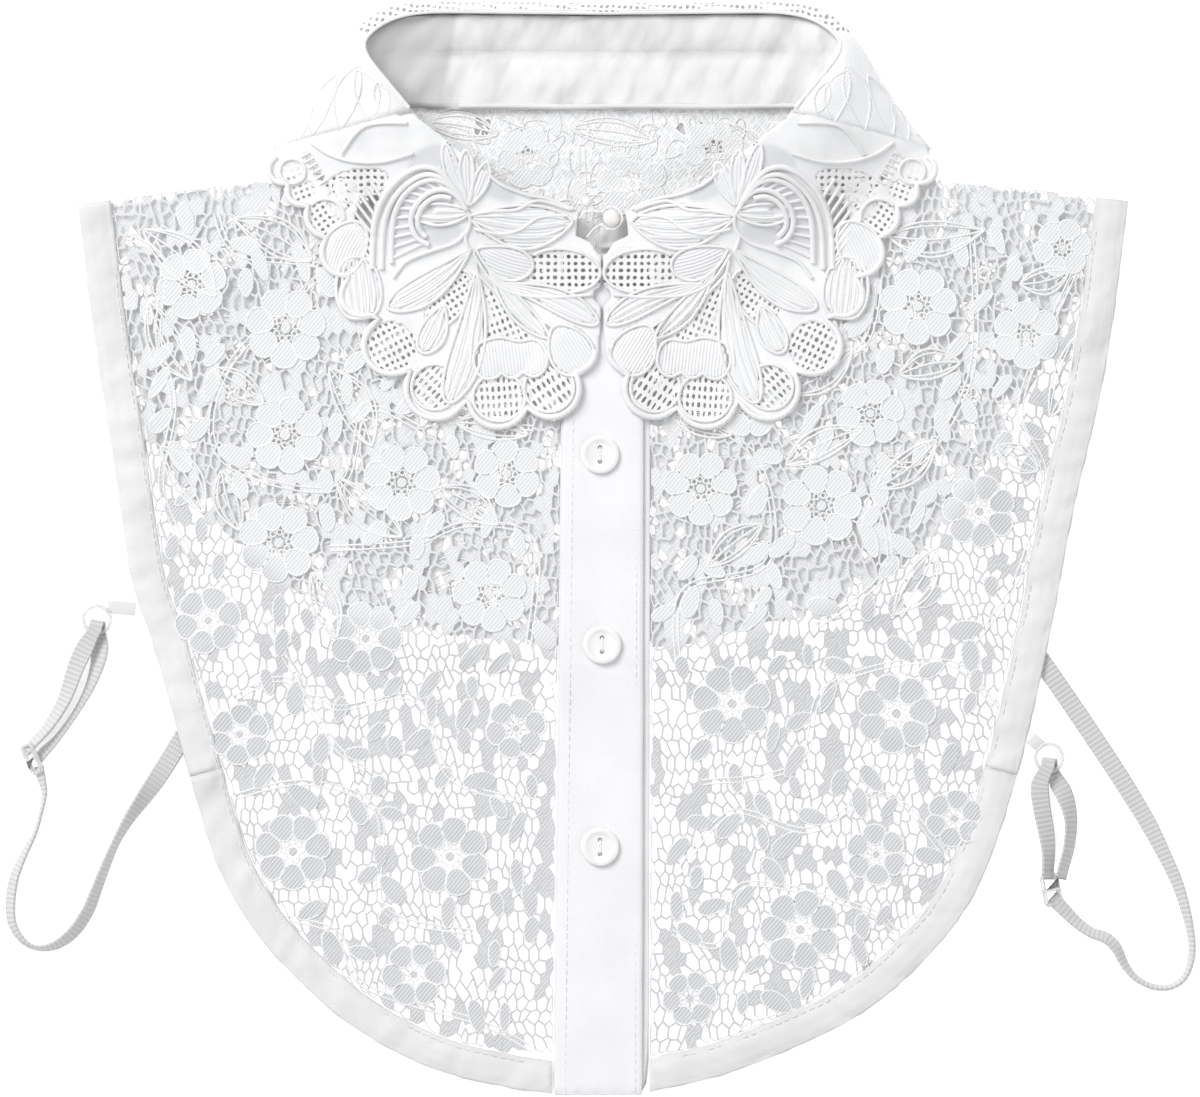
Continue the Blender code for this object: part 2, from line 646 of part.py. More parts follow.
def make_bindings(side_name, side, finish):
    """The cotton binding, as a straight side piece and a curved hem piece."""
    edge = curve(LEFT_EDGE if side < 0 else RIGHT_EDGE, BINDING_STEP)
    split = next(i for i, p in enumerate(edge) if p[1] < -70.0)
    inward = -side
    for part, first, last in (("side", 0, split), ("hem", split, len(edge) - 1)):
        sections = []
        for i in range(first, last + 1):
            across = offset_path(edge[max(i - 1, 0):i + 2], inward)
            here = across[1 if i > 0 else 0]
            nx, ny = here[0] - edge[i][0], here[1] - edge[i][1]
            length = i * BINDING_STEP
            pucker = 0.35 * math.sin(length * 0.33) + 0.3 * math.sin(length * 0.19 + 1.0)
            slack = 1.3 if side < 0 and edge[i][1] < -60.0 else 0.8
            section = []
            for out, rise in ((0.0, 0.0), (0.0, 0.6), (0.25, 0.95), (0.6, 1.0), (1.0, 0.7), (1.0, 0.0)):
                x = edge[i][0] + nx * BINDING_WIDE * out
                y = edge[i][1] + ny * BINDING_WIDE * out
                puff = slack * pucker * math.sin(math.pi * out)
                height = BINDING_THICK * rise + max(puff, -0.5) * (1.0 if rise else 0.0)
                section.append((x, y, front_bottom(x, y) + height))
            sections.append(section)
        if part == "hem":
            limit = placket_left(HEM_END) if side < 0 else under_right(HEM_END)
            limit += side * SEAM_GAP
            sections[-1] = [(limit, y, z) for x, y, z in sections[-1]]
            shift = Vector(sections[1][0]) - Vector(sections[0][0])
            shift = shift.normalized() * SEAM_GAP
            sections[0] = [tuple(Vector(corner) + shift) for corner in sections[0]]
        loft("binding_" + side_name + "_" + part, sections, finish)


# Placket and buttons

def placket_rows():
    count = 22
    return [HEM_END + (PLACKET_TOP - HEM_END) * i / count for i in range(count + 1)]


def make_placket(finish):
    """The top strip wraps down beside the left front; the under strip shows at its right."""
    upper, lower = [], []
    for y in placket_rows():
        left, right = placket_left(y), placket_right(y)
        base = [front_base(x, y) for x in (left, left + 3.4, right)]
        seat = UNDER_THICK + SEAM_GAP
        upper.append([
            (left, y, base[0]), (left + 2.2, y, base[0]), (left + 3.4, y, base[1] + seat),
            (right, y, base[2] + seat), (right, y, base[2] + seat + PLACKET_THICK * 0.7),
            (right - 1.0, y, base[2] + seat + PLACKET_THICK),
            (left + 3.4, y, base[1] + seat + PLACKET_THICK),
            (left + 1.0, y, base[0] + seat + PLACKET_THICK * 0.9),
            (left, y, base[0] + seat * 0.7),
        ])
        near, far = left + 3.9, under_right(y)
        base_near, base_far = front_base(near, y), front_base(far, y)
        lower.append([
            (near, y, base_near), (far, y, base_far), (far, y, base_far + UNDER_THICK),
            (near, y, base_near + UNDER_THICK),
        ])
    loft("placket_top", upper, finish)
    loft("placket_under", lower, finish)


def placket_height(x, y):
    """Top face of the placket."""
    return front_base(x, y) + UNDER_THICK + SEAM_GAP + PLACKET_THICK


def circle(x, y, radius, count, start=0.0):
    step = 2 * math.pi / count
    return [(x + radius * math.cos(start + i * step), y + radius * math.sin(start + i * step))
            for i in range(count)]


def make_button(name, x, y, finish):
    """A rimmed button with two holes, one above the other."""
    seat = placket_height(x, y) + SEAM_GAP
    outer = BUTTON_WIDE / 2
    rim_in, dish = outer - 1.7, outer - 2.5
    hole_apart, hole_radius = 4.7, 0.85
    holes = [circle(x, y + s * hole_apart / 2, hole_radius, 6) for s in (-1, 1)]
    points = [p for radius, count in ((outer - 0.7, 18), (rim_in, 14), (dish, 10))
              for p in circle(x, y, radius, count)]
    points += [(x - 2.0, y), (x + 2.0, y)]

    def bottom(px, py):
        edge = ramp(math.hypot(px - x, py - y), outer - 0.9, outer)
        return seat + 0.5 * edge

    def top(px, py):
        away = math.hypot(px - x, py - y)
        dished = 0.8 * (1.0 - ramp(away, dish, rim_in))
        rounded = 0.8 * ramp(away, outer - 0.75, outer)
        return seat + BUTTON_THICK - dished - rounded

    plate(name, circle(x, y, outer, 18), holes, points, bottom, top, finish)


# Collar

def foot_height(x, y):
    """Height at which the stand's foot clears the panels."""
    heights = []
    for dx, dy in ((0, 0), (4, 0), (-4, 0), (0, 4), (0, -4)):
        px, py = x + dx, y + dy
        heights.append(back_bottom(px, py) + HEM_THICK)
        if py < 131.0:
            heights.append(front_top(px, py))
    return max(heights) + LAYER_GAP


def stand_ring(row):
    """The stand's face from its foot to just under the fold, creased half way."""
    foot_x, foot_y, fold_x, fold_y, fold_z = row
    dx, dy = fold_x - foot_x, fold_y - foot_y
    lying = ramp(foot_y, 130.0, 144.0)
    foot_z = foot_height(foot_x, foot_y) + STAND_THICK * lying
    top_z = fold_z - FALL_THICK - LAYER_GAP - 0.6 - STAND_THICK * (1.0 - lying)
    ring = []
    for share, dent in ((0.0, 0.0), (0.28, -0.3), (0.56, 0.8), (0.75, -0.1), (0.97, 0.0)):
        z = foot_z + (top_z - foot_z) * share
        flat = min(math.hypot(dx, dy) / 25.0, 1.0)
        ring.append((foot_x + dx * share, foot_y + dy * share, z - dent * flat))
    return ring


def make_stand(finish):
    """Three walls: both fronts and the back, which meet behind the shoulders."""
    left = [stand_ring(row) for row in even_rows_by_index(COLLAR_RINGS, 2)]
    right = [[mirrored(p) for p in ring] for ring in left]
    split = JOIN_RING * 2
    tab = [(p[0] - 8.0, p[1], p[2]) for p in right[0]]
    back = left[split:] + right[split:-1][::-1]
    shifted = end_gap(back)
    wall("stand_left", left[:split + 1], STAND_THICK, finish)
    wall("stand_back", shifted, STAND_THICK, finish)
    wall("stand_right", right[:split + 1][::-1] + [tab], STAND_THICK, finish)


def even_rows_by_index(rows, parts):
    """Rows with extra ones smoothly between each pair."""
    fine = smooth_rows(rows)
    step = CURVE_STEPS // parts
    return fine[::step]


def end_gap(rings):
    """Rings with the first and the last drawn in to leave the seam gap."""
    drawn = [list(ring) for ring in rings]
    for end, near in ((0, 1), (-1, -2)):
        fresh = []
        for p, q in zip(rings[end], rings[near]):
            step = Vector(q) - Vector(p)
            fresh.append(tuple(Vector(p) + step.normalized() * SEAM_GAP))
        drawn[end] = fresh
    return drawn


def support(x, y):
    """Top of what the front fall lies on."""
    if y > 125.5:
        return LAYER_STEP + LACE_THICK + 0.4
    level = front_top(x, y)
    if abs(x) < 21.0 and y < PLACKET_TOP + 3.0:
        beside = max(placket_left(y) - x, x - under_right(y), 0.0)
        level = max(level, level + (placket_height(x, y) - level) * (1.0 - ramp(beside, 1.5, 5.0)))
    return level


def fall_bottom(x, y):
    """The fall drops from its fold on to the fronts; x is on the left half."""
    away, where = path_distance(FOLD_LEFT, x, y)
    i = min(int(where), len(FOLD_LEFT) - 2)
    fold_z = FOLD_LEFT[i][2] + (FOLD_LEFT[i + 1][2] - FOLD_LEFT[i][2]) * (where - i)
    share = 0.5 * (1.0 + math.cos(math.pi * min(away / DRAPE_REACH, 1.0)))
    low = max(support(x, y), support(2 * COLLAR_MIDDLE - x, y)) + LAYER_GAP
    high = fold_z - FALL_THICK
    return low + max(high - low, 0.0) * share


def scallop_outline():
    """Arcs of the scallops, from one notch to the next."""
    notches = []
    for (ax, ay, ar), (bx, by, br) in zip(SCALLOPS, SCALLOPS[1:]):
        apart = math.hypot(bx - ax, by - ay)
        along = (apart ** 2 + ar ** 2 - br ** 2) / (2 * apart)
        high = math.sqrt(max(ar ** 2 - along ** 2, 0.0))
        ux, uy = (bx - ax) / apart, (by - ay) / apart
        notches.append((ax + ux * along + uy * high, ay + uy * along - ux * high))
    first = (-108.3, 131.2)
    last = (-0.3, 66.0)
    points = []
    for (x, y, radius), start, end in zip(SCALLOPS, [first] + notches, notches + [last]):
        a = math.atan2(start[1] - y, start[0] - x)
        b = math.atan2(end[1] - y, end[0] - x)
        while b <= a:
            b += 2 * math.pi
        count = max(3, round((b - a) / math.radians(34.0)))
        for k in range(count):
            t = a + (b - a) * k / count
            points.append((x + radius * math.cos(t), y + radius * math.sin(t)))
    return points + [last]


def fall_outline():
    """The left front fall: scallops, front middle, fold and the join with the back fall."""
    middle = [(-0.3, 69.5), (0.2, 74.0), (0.2, 80.5), (-2.4, 83.5), (-1.6, 86.6), (0.2, 89.0),
              (0.2, 96.5), (-3.2, 101.8), (-8.0, 104.0), (-7.6, 108.5)]
    last = JOIN_RING * CURVE_STEPS
    fold = [FOLD_LEFT[i][:2] for i in range(0, last, CURVE_STEPS // 3)]
    inner = FOLD_LEFT[last]
    outer = TURN_RINGS[0]
    dx, dy = inner[0] - outer[0], inner[1] - outer[1]
    long = math.hypot(dx, dy)
    south = (dy / long * 0.5, -dx / long * 0.5)
    join = [(inner[0] - dx * t + south[0], inner[1] - dy * t + south[1])
            for t in (0.0, 0.12, 0.25, 0.4, 0.55, 0.7, 0.85, 0.98)]
    return scallop_outline() + middle + fold + join


def fall_holes():
    """Openwork of the guipure wide enough to cut through."""
    rows = [
        # x, y, half wide, half tall, tilt
        (-58.5, 105.5, 1.1, 2.2, 70.0), (-57.0, 112.5, 1.1, 2.2, 20.0),
        (-75.5, 104.5, 1.2, 2.4, -25.0), (-78.5, 110.5, 1.2, 2.4, -30.0),
        (-47.5, 84.5, 1.2, 2.3, -20.0), (-39.5, 86.0, 1.1, 2.3, 0.0),
        (-27.5, 78.0, 1.2, 2.3, 40.0), (-62.0, 70.0, 1.2, 2.3, -40.0),
        (-13.0, 92.5, 1.2, 2.3, 80.0),
    ]
    holes = []
    for x, y, wide, tall, tilt in rows:
        turn = math.radians(tilt)
        shape = []
        for k in range(6):
            a = k * math.pi / 3
            u, v = wide * math.cos(a) * 1.9, tall * math.sin(a)
            shape.append((x + u * math.cos(turn) - v * math.sin(turn),
                          y + u * math.sin(turn) + v * math.cos(turn)))
        holes.append(shape)
    return holes


def make_front_falls(finish):
    outline = fall_outline()
    holes = fall_holes()
    scallops = outline[:len(scallop_outline())]

    def relief(x, y):
        away = path_distance(scallops, x, y)[0]
        cord = CORD_RISE * math.exp(-((away - 1.4) / 0.9) ** 2)
        petal = 0.0
        for x1, y1, x2, y2, wide in PETALS:
            off = path_distance([(x1, y1), (x2, y2)], x, y)[0]
            petal = max(petal, PETAL_RISE * (1.0 - ramp(off, wide * 0.35, wide * 0.6)))
        return max(cord, petal)

    points = []
    for distance in (1.4, 3.0):
        for x, y in offset_path(scallops, distance):
            if inside(outline, x, y) and path_distance(outline, x, y, True)[0] > distance * 0.8:
                points.append((x, y))
    for x1, y1, x2, y2, wide in PETALS:
        for x, y in even_rows([(x1, y1), (x2, y2)], 6.0):
            if inside(outline, x, y) and path_distance(outline, x, y, True)[0] > 3.5:
                points.append((x, y))
    for x, y in grid_points(outline, 8.5, 4.0):
        if all(math.hypot(x - px, y - py) > 2.5 for px, py in points):
            points.append((x, y))
    for x, y in offset_path([p[:2] for p in FOLD_LEFT[:JOIN_RING * CURVE_STEPS:4]], -2.5):
        if inside(outline, x, y) and path_distance(outline, x, y, True)[0] > 1.5:
            points.append((x, y))

    def top(x, y):
        return fall_bottom(x, y) + FALL_THICK + relief(x, y)

    def bottom_right(x, y):
        return fall_bottom(*mirrored((x, y)))

    def top_right(x, y):
        return top(*mirrored((x, y)))

    plate("fall_left", outline, holes, points, fall_bottom, top, finish)
    plate("fall_right", [mirrored(p) for p in reversed(outline)],
          [[mirrored(p) for p in reversed(hole)] for hole in holes],
          [mirrored(p) for p in points], bottom_right, top_right, finish)
    return 2 * len(holes)


def turn_ring(fold, turn):
    """The back fall's outer face from its fold, round the turn and in under the garment."""
    fold_x, fold_y, fold_z = fold
    turn_x, turn_y, turn_z, under_x, under_y, round_share = turn
    ring = []
    for share in (0.0, 0.35, 0.65, 0.88):
        draped = 0.5 * (1.0 + math.cos(math.pi * share))
        full = math.sqrt(1.0 - share ** 2)
        drop = full * round_share + draped * (1.0 - round_share)
        top_z = turn_z + 1.1
        z = top_z + (fold_z - top_z) * drop
        ring.append((fold_x + (turn_x - fold_x) * share, fold_y + (turn_y - fold_y) * share, z))
    ring.append((turn_x, turn_y, turn_z * 0.62))
    dx, dy = under_x - turn_x, under_y - turn_y
    long = math.hypot(dx, dy)
    for inward, z in ((0.35 * turn_z, 0.12 * turn_z), (0.8 * turn_z, 0.0)):
        ring.append((turn_x + dx / long * inward, turn_y + dy / long * inward, z))
    ring.append((under_x, under_y, 0.0))
    return ring


def make_back_fall(finish):
    """The lace between the two joins, in one piece round the back of the neck."""
    folds = [row[2:] for row in COLLAR_RINGS[JOIN_RING:]]
    rows = [fold + turn for fold, turn in zip(folds, TURN_RINGS)]
    rings = [turn_ring(row[:3], row[3:]) for row in even_rows_by_index(rows, 2)]
    right = [[mirrored(p) for p in ring] for ring in rings]
    whole = rings + right[:-1][::-1]
    wall("fall_back", whole, FALL_THICK, finish)


def make_closure(pearl_finish, thread_finish):
    """The pearl button on the stand's end, its thread loop and a small bead."""
    px, py, pz = PEARL_PLACE
    shape = bmesh.new()
    bmesh.ops.create_uvsphere(shape, u_segments=14, v_segments=8, radius=PEARL_WIDE / 2)
    bmesh.ops.scale(shape, vec=(1.0, 1.0, 0.68), verts=shape.verts)
    bmesh.ops.translate(shape, vec=(px, py, pz), verts=shape.verts)
    add_object("pearl_button", shape, pearl_finish)
    shape = bmesh.new()
    bmesh.ops.create_uvsphere(shape, u_segments=10, v_segments=7, radius=BEAD_WIDE / 2)
    bmesh.ops.translate(shape, vec=BEAD_PLACE, verts=shape.verts)
    add_object("loop_bead", shape, pearl_finish)
    thread = THREAD_WIDE / 2
    ring_radius = PEARL_WIDE / 2 + thread + SEAM_GAP
    path = [(-6.8, 109.8, 8.5), (-4.4, 112.0, 9.0)]
    for k in range(13):
        a = math.radians(145.0 - 290.0 * k / 12)
        path.append((px + ring_radius * math.cos(a), py + ring_radius * math.sin(a), 8.9))
    path += [(-1.8, 106.4, 8.6), (-4.2, 103.7, 8.1)]
    sections = []
    for i, point in enumerate(path):
        before, after = path[max(i - 1, 0)], path[min(i + 1, len(path) - 1)]
        along = (Vector(after) - Vector(before)).normalized()
        side = along.cross(Vector((0, 0, 1))).normalized()
        lift = side.cross(along)
        section = []
        for k in range(6):
            a = k * math.pi / 3
            section.append(Vector(point) + side * thread * math.cos(a) + lift * thread * math.sin(a))
        sections.append(section)
    loft("thread_loop", sections, thread_finish)


# Straps

def band_frame(rows, i):
    """Middle, side and face directions of a strap at one row."""
    x, y, turn, lift = rows[i]
    before, after = rows[max(i - 1, 0)], rows[min(i + 1, len(rows) - 1)]
    dx, dy = after[0] - before[0], after[1] - before[1]
    long = math.hypot(dx, dy)
    roll = math.radians(turn)
    across = Vector((-dy / long, dx / long, 0.0))
    side = across * math.cos(roll) + Vector((0, 0, 1)) * math.sin(roll)
    face = side.cross(Vector((dx / long, dy / long, 0.0)))
    face.negate()
    half = STRAP_WIDE / 2 * abs(math.sin(roll)) + STRAP_THICK / 2 * abs(math.cos(roll))
    return Vector((x, y, half + lift + 0.06)), side, face


def strap(name, rows, spacing, finish):
    """A flat band swept along its rows."""
    fine = curve(rows, spacing)
    sections = []
    for i in range(len(fine)):
        middle, side, face = band_frame(fine, i)
        sections.append([middle + side * STRAP_WIDE / 2 * s + face * STRAP_THICK / 2 * f
                         for s, f in ((-1, -1), (1, -1), (1, 1), (-1, 1))])
    loft(name, sections, finish)


def flat_band(name, rows, thick, finish):
    """A band through rows of middle point, side direction and width."""
    sections = []
    count = len(rows)
    for i, (middle, side, wide) in enumerate(rows):
        before, after = rows[max(i - 1, 0)][0], rows[min(i + 1, count - 1)][0]
        along = (Vector(after) - Vector(before)).normalized()
        side = Vector(side)
        side = (side - along * side.dot(along)).normalized()
        face = along.cross(side)
        sections.append([Vector(middle) + side * wide / 2 * s + face * thick / 2 * f
                         for s, f in ((-1, -1), (1, -1), (1, 1), (-1, 1))])
    loft(name, sections, finish)


def loop_rows(rows, reverse, ring):
    """Rows of middle and side for one layer of a loop, fine and smooth."""
    fine = curve(rows, 3.5)
    made = []
    for i, (x, y, turn, z) in enumerate(fine):
        before, after = fine[max(i - 1, 0)], fine[min(i + 1, len(fine) - 1)]
        dx, dy = after[0] - before[0], after[1] - before[1]
        if reverse:
            dx, dy = -dx, -dy
        long = math.hypot(dx, dy)
        roll = math.radians(turn)
        side = Vector((-dy / long * math.cos(roll), dx / long * math.cos(roll), math.sin(roll)))
        gathered = 1.0 - RING_GATHER * ramp(-math.hypot(x - ring[0], y - ring[1]), -11.0, -4.5)
        made.append((Vector((x, y, z)), side, STRAP_WIDE * gathered))
    return made


def make_loop(name, spec, finish):
    ring_x, ring_y = spec["ring"]
    lower = loop_rows(spec["lower"], True, spec["ring"])
    upper = loop_rows(spec["upper"], False, spec["ring"])
    side = (lower[-1][1] + upper[0][1]).normalized()
    turn = []
    low, high = lower[-1][0], upper[0][0]
    heading = Vector((side.y, -side.x, 0.0)).normalized()
    if heading.dot(Vector((ring_x, ring_y, 0.0)) - Vector((low.x, low.y, 0.0))) < 0:
        heading.negate()
    for k in range(1, 6):
        a = math.pi * k / 6
        middle = low.lerp(high, 0.5 - 0.5 * math.cos(a)) + heading * 2.6 * math.sin(a)
        turn.append((middle, side, STRAP_WIDE * (1.0 - RING_GATHER)))
    flat_band(name, lower + turn + upper, STRAP_THICK, finish)


def make_ring(name, spec, finish):
    """A round ring lying between the two layers of the strap."""
    x, y = spec["ring"]
    around, tube = 16, 6
    level = RING_LEVEL
    middle = RING_OUTER - RING_WIRE / 2
    shape = bmesh.new()
    start = shape.verts.new((x + RING_OUTER, y, level))
    first = [start]
    for k in range(1, tube):
        a = 2 * math.pi * k / tube
        first.append(shape.verts.new((x + middle + RING_WIRE / 2 * math.cos(a), y,
                                      level + RING_WIRE / 2 * math.sin(a))))
    edges = [shape.edges.new((first[k], first[(k + 1) % tube])) for k in range(tube)]
    bmesh.ops.spin(shape, geom=edges + first, cent=(x, y, level), axis=(0, 0, 1),
                   angle=2 * math.pi, steps=around, use_merge=True)
    bmesh.ops.triangulate(shape, faces=shape.faces)
    add_object(name, shape, finish)


def make_slider(name, spec, finish):
    """A frame with a middle bar, tilted as the strap it grips."""
    middle = Vector(spec["slider"])
    along = Vector((*spec["slider_along"], 0.0)).normalized()
    roll = math.radians(spec["slider_turn"])
    across = Vector((-along.y, along.x, 0.0))
    side = across * math.cos(roll) + Vector((0, 0, 1)) * math.sin(roll)
    face = along.cross(side)
    bar = 1.2
    slot_long = (SLIDER_LONG - 3 * bar) / 2
    half_slot = SLIDER_WIDE / 2 - bar
    outline = []
    corner = 1.8
    for sx, sy, start in ((1, 1, 0), (-1, 1, 90), (-1, -1, 180), (1, -1, 270)):
        cx, cy = sx * (SLIDER_LONG / 2 - corner), sy * (SLIDER_WIDE / 2 - corner)
        for k in range(3):
            a = math.radians(start + 45.0 * k)
            outline.append((cx + corner * math.cos(a), cy + corner * math.sin(a)))
    slots = []
    for s in (-1, 1):
        mid = s * (bar + slot_long) / 2
        slots.append([(mid - slot_long / 2, -half_slot), (mid + slot_long / 2, -half_slot),
                      (mid + slot_long / 2, half_slot), (mid - slot_long / 2, half_slot)])
    made = plate(name, outline, slots, [], lambda x, y: -SLIDER_THICK / 2,
                 lambda x, y: SLIDER_THICK / 2, finish)
    for vertex in made.data.vertices:
        u, v, w = vertex.co / MM
        vertex.co = (middle + along * u + side * v + face * w) * MM
    return made


def make_tab(name, spec, finish):
    """A short cotton tab from the binding to under the ring's wire."""
    rows = even_rows(spec["tab"], 3.0)
    sections = []
    wide, thick = 4.4, 0.8
    for i, (x, y) in enumerate(rows):
        before, after = rows[max(i - 1, 0)], rows[min(i + 1, len(rows) - 1)]
        dx, dy = after[0] - before[0], after[1] - before[1]
        long = math.hypot(dx, dy)
        nx, ny = -dy / long, dx / long
        sections.append([(x - nx * wide / 2, y - ny * wide / 2, 0.0),
                         (x + nx * wide / 2, y + ny * wide / 2, 0.0),
                         (x + nx * wide / 2, y + ny * wide / 2, thick),
                         (x - nx * wide / 2, y - ny * wide / 2, thick)])
    loft(name, sections, finish)


def main():
    clear_scene()
    lace = principled("ivory white lace", (0.90, 0.91, 0.92), 0.75)
    guipure = principled("guipure lace", (0.95, 0.95, 0.95), 0.6)
    cotton = principled("white cotton lawn", (0.92, 0.92, 0.91), 0.85)
    plastic = principled("white button plastic", (0.94, 0.94, 0.94), 0.3)
    pearl = principled("pearl", (0.93, 0.90, 0.86), 0.2)
    elastic = principled("white elastic", (0.90, 0.90, 0.90), 0.7)
    clear = principled("milky plastic", (0.88, 0.88, 0.88), 0.25)

    gaps = make_back(lace)
    gaps += make_front("front_left", -1, lace)
    gaps += make_front("front_right", 1, lace)
    make_bindings("left", -1, cotton)
    make_bindings("right", 1, cotton)
    make_placket(cotton)
    for number, (x, y) in enumerate(BUTTON_PLACES, 1):
        make_button("button_" + str(number), x, y, plastic)
    make_stand(cotton)
    gaps += make_front_falls(guipure)
    make_back_fall(guipure)
    make_closure(pearl, guipure)
    strap("strap_left_long", LEFT_LONG, 5.0, elastic)
    strap("strap_right_long", RIGHT_LONG, 5.0, elastic)
    for side_name, spec in LOOPS.items():
        make_loop("strap_" + side_name + "_loop", spec, elastic)
        make_ring("ring_" + side_name, spec, clear)
        make_slider("slider_" + side_name, spec, clear)
        make_tab("tab_" + side_name, spec, cotton)
    print("gaps cut through:", gaps)


main()
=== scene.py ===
# %% [markdown]
# # A detachable lace collar, laid flat
# The real thing is a false shirt front worn under a pullover: two lace fronts with a buttoned
# cotton placket, a shorter lace back, a cotton neck stand and a heavy guipure lace collar that
# turns over it. Elastic straps hold it down at the sides. It lies flat and is seen from above.
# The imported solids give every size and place. This script dresses them: net with real openings,
# satin petals, padded cords, creased cotton, buttons, pearl and ribbed elastic.

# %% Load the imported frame
import math
import random

import bmesh
import bpy
import numpy as np
from mathutils import Matrix, Vector, noise
from mathutils.bvhtree import BVHTree


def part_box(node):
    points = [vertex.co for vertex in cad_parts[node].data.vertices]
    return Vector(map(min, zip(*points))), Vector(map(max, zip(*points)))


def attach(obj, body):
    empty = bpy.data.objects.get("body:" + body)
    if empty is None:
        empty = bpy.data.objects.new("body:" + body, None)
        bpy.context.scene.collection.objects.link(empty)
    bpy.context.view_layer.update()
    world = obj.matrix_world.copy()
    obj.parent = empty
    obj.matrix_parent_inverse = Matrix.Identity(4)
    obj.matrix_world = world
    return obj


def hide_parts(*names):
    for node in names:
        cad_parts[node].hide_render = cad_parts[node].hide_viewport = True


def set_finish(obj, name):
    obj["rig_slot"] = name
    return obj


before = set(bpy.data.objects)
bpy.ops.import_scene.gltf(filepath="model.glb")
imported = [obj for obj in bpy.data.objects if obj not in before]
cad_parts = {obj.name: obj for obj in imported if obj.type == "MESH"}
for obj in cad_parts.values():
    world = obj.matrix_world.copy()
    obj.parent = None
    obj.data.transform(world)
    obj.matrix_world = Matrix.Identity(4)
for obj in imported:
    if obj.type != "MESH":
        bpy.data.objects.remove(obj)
MM = 0.001                                   # all the tables below are millimetres
NOISE_SEED = 1
noise.seed_set(NOISE_SEED)                   # noise_vector starts from the clock without it
link = bpy.context.scene.collection.objects.link      # puts an object into the scene
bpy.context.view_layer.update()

# %% [markdown]
# ## Camera, light and floor
# The photograph looks straight down through a long lens, so the camera hangs 3 m over the middle
# of the floor and its lens frames 400 mm. The light is a large soft window from the upper left and
# a weaker one across from it, and a pale sky fills the shadows. The floor is brighter than the
# cloth, as a cut-out's paper is.

# %% Camera
PICTURE_WIDE = 400.0
CAMERA_HIGH = 3000.0
SENSOR_WIDE = 36.0

camera_data = bpy.data.cameras.new("camera")
camera_data.sensor_width = SENSOR_WIDE
camera_data.lens = SENSOR_WIDE * CAMERA_HIGH / PICTURE_WIDE
camera = bpy.data.objects.new("camera", camera_data)
camera.location = (0.0, 0.0, CAMERA_HIGH * MM)
link(camera)
bpy.context.scene.camera = camera
bpy.context.scene.view_settings.view_transform = "Standard"
print("lens", round(camera_data.lens), "mm")

# %% Light
SKY_COLOUR = (0.97, 0.98, 1.0, 1.0)
SKY_STRENGTH = 0.52

sky = bpy.data.worlds.new("sky")
sky.use_nodes = True
sky.node_tree.nodes["Background"].inputs["Color"].default_value = SKY_COLOUR
sky.node_tree.nodes["Background"].inputs["Strength"].default_value = SKY_STRENGTH
bpy.context.scene.world = sky


def window_light(name, place, size, power):
    """A soft square light that faces the middle of the floor."""
    light = bpy.data.lights.new(name, "AREA")
    light.shape = "SQUARE"
    light.size = size
    light.energy = power
    made = bpy.data.objects.new(name, light)
    made.location = place
    made.rotation_euler = Vector(place).to_track_quat("Z", "Y").to_euler()
    link(made)


window_light("window", (-1.9, 2.0, 2.7), 1.9, 112.0)
window_light("far_wall", (2.2, -1.6, 2.6), 2.4, 24.0)
print("two lights and a sky")

# %% [markdown]
# ## Finishes
# Each material is procedural. Patterns on cloth read Object coordinates, which are metres here
# because every piece sits at the origin. A few that follow a surface, as the ridges of satin
# stitch and the ribs of elastic, read the piece's own UV map.

# %% Material helpers
def material(name, colour, roughness, sheen=0.0, glow=0.0):
    """A Principled material and its node tree. Glow is painted light: emission that stands for light
    coming through thin cloth and lifts its shade.
    """
    made = bpy.data.materials.new(name)
    made.use_nodes = True
    shader = made.node_tree.nodes["Principled BSDF"]
    fill_in(shader, {"Base Color": (*colour, 1.0), "Roughness": roughness, "Sheen Weight": sheen,
                     "Emission Color": (1.0, 1.0, 1.0, 1.0), "Emission Strength": glow})
    return made, made.node_tree, shader


def fill_in(made, settings):
    """A node's inputs, or else its own settings, by name."""
    for key, value in settings.items():
        if key in made.inputs:
            made.inputs[key].default_value = value
        else:
            setattr(made, key, value)


def node(tree, kind, **settings):
    made = tree.nodes.new("ShaderNode" + kind)
    fill_in(made, settings)
    return made


def placed(tree, turn=0.0, uv=False, stretch=(1.0, 1.0, 1.0)):
    """Pattern coordinates in millimetres, turned about the upright axis."""
    source = node(tree, "TexCoord")
    scale = 1.0 if uv else 1.0 / MM
    mapping = node(tree, "Mapping", Scale=[scale * s for s in stretch],
                   Rotation=(0.0, 0.0, math.radians(turn)))
    tree.links.new(source.outputs["UV" if uv else "Object"], mapping.inputs["Vector"])
    return mapping.outputs["Vector"]


def bands(tree, vector, period, distortion=0.0):
    """A wave of straight lines, one each period."""
    wave = node(tree, "TexWave", wave_type="BANDS", bands_direction="X", Detail=1.0,
                Scale=2 * math.pi / (20.0 * period), Distortion=distortion)
    tree.links.new(vector, wave.inputs["Vector"])
    return wave.outputs["Fac"]


def blotches(tree, vector, size, detail=3.0):
    made = node(tree, "TexNoise", Scale=1.0 / size, Detail=detail)
    tree.links.new(vector, made.inputs["Vector"])
    return made.outputs["Fac"]


def combine(tree, first, second, operation="ADD", factor=1.0):
    """Two values put together, the second one scaled."""
    scaled = node(tree, "Math", operation="MULTIPLY")
    tree.links.new(second, scaled.inputs[0])
    scaled.inputs[1].default_value = factor
    made = node(tree, "Math", operation=operation)
    tree.links.new(first, made.inputs[0])
    tree.links.new(scaled.outputs[0], made.inputs[1])
    return made.outputs[0]


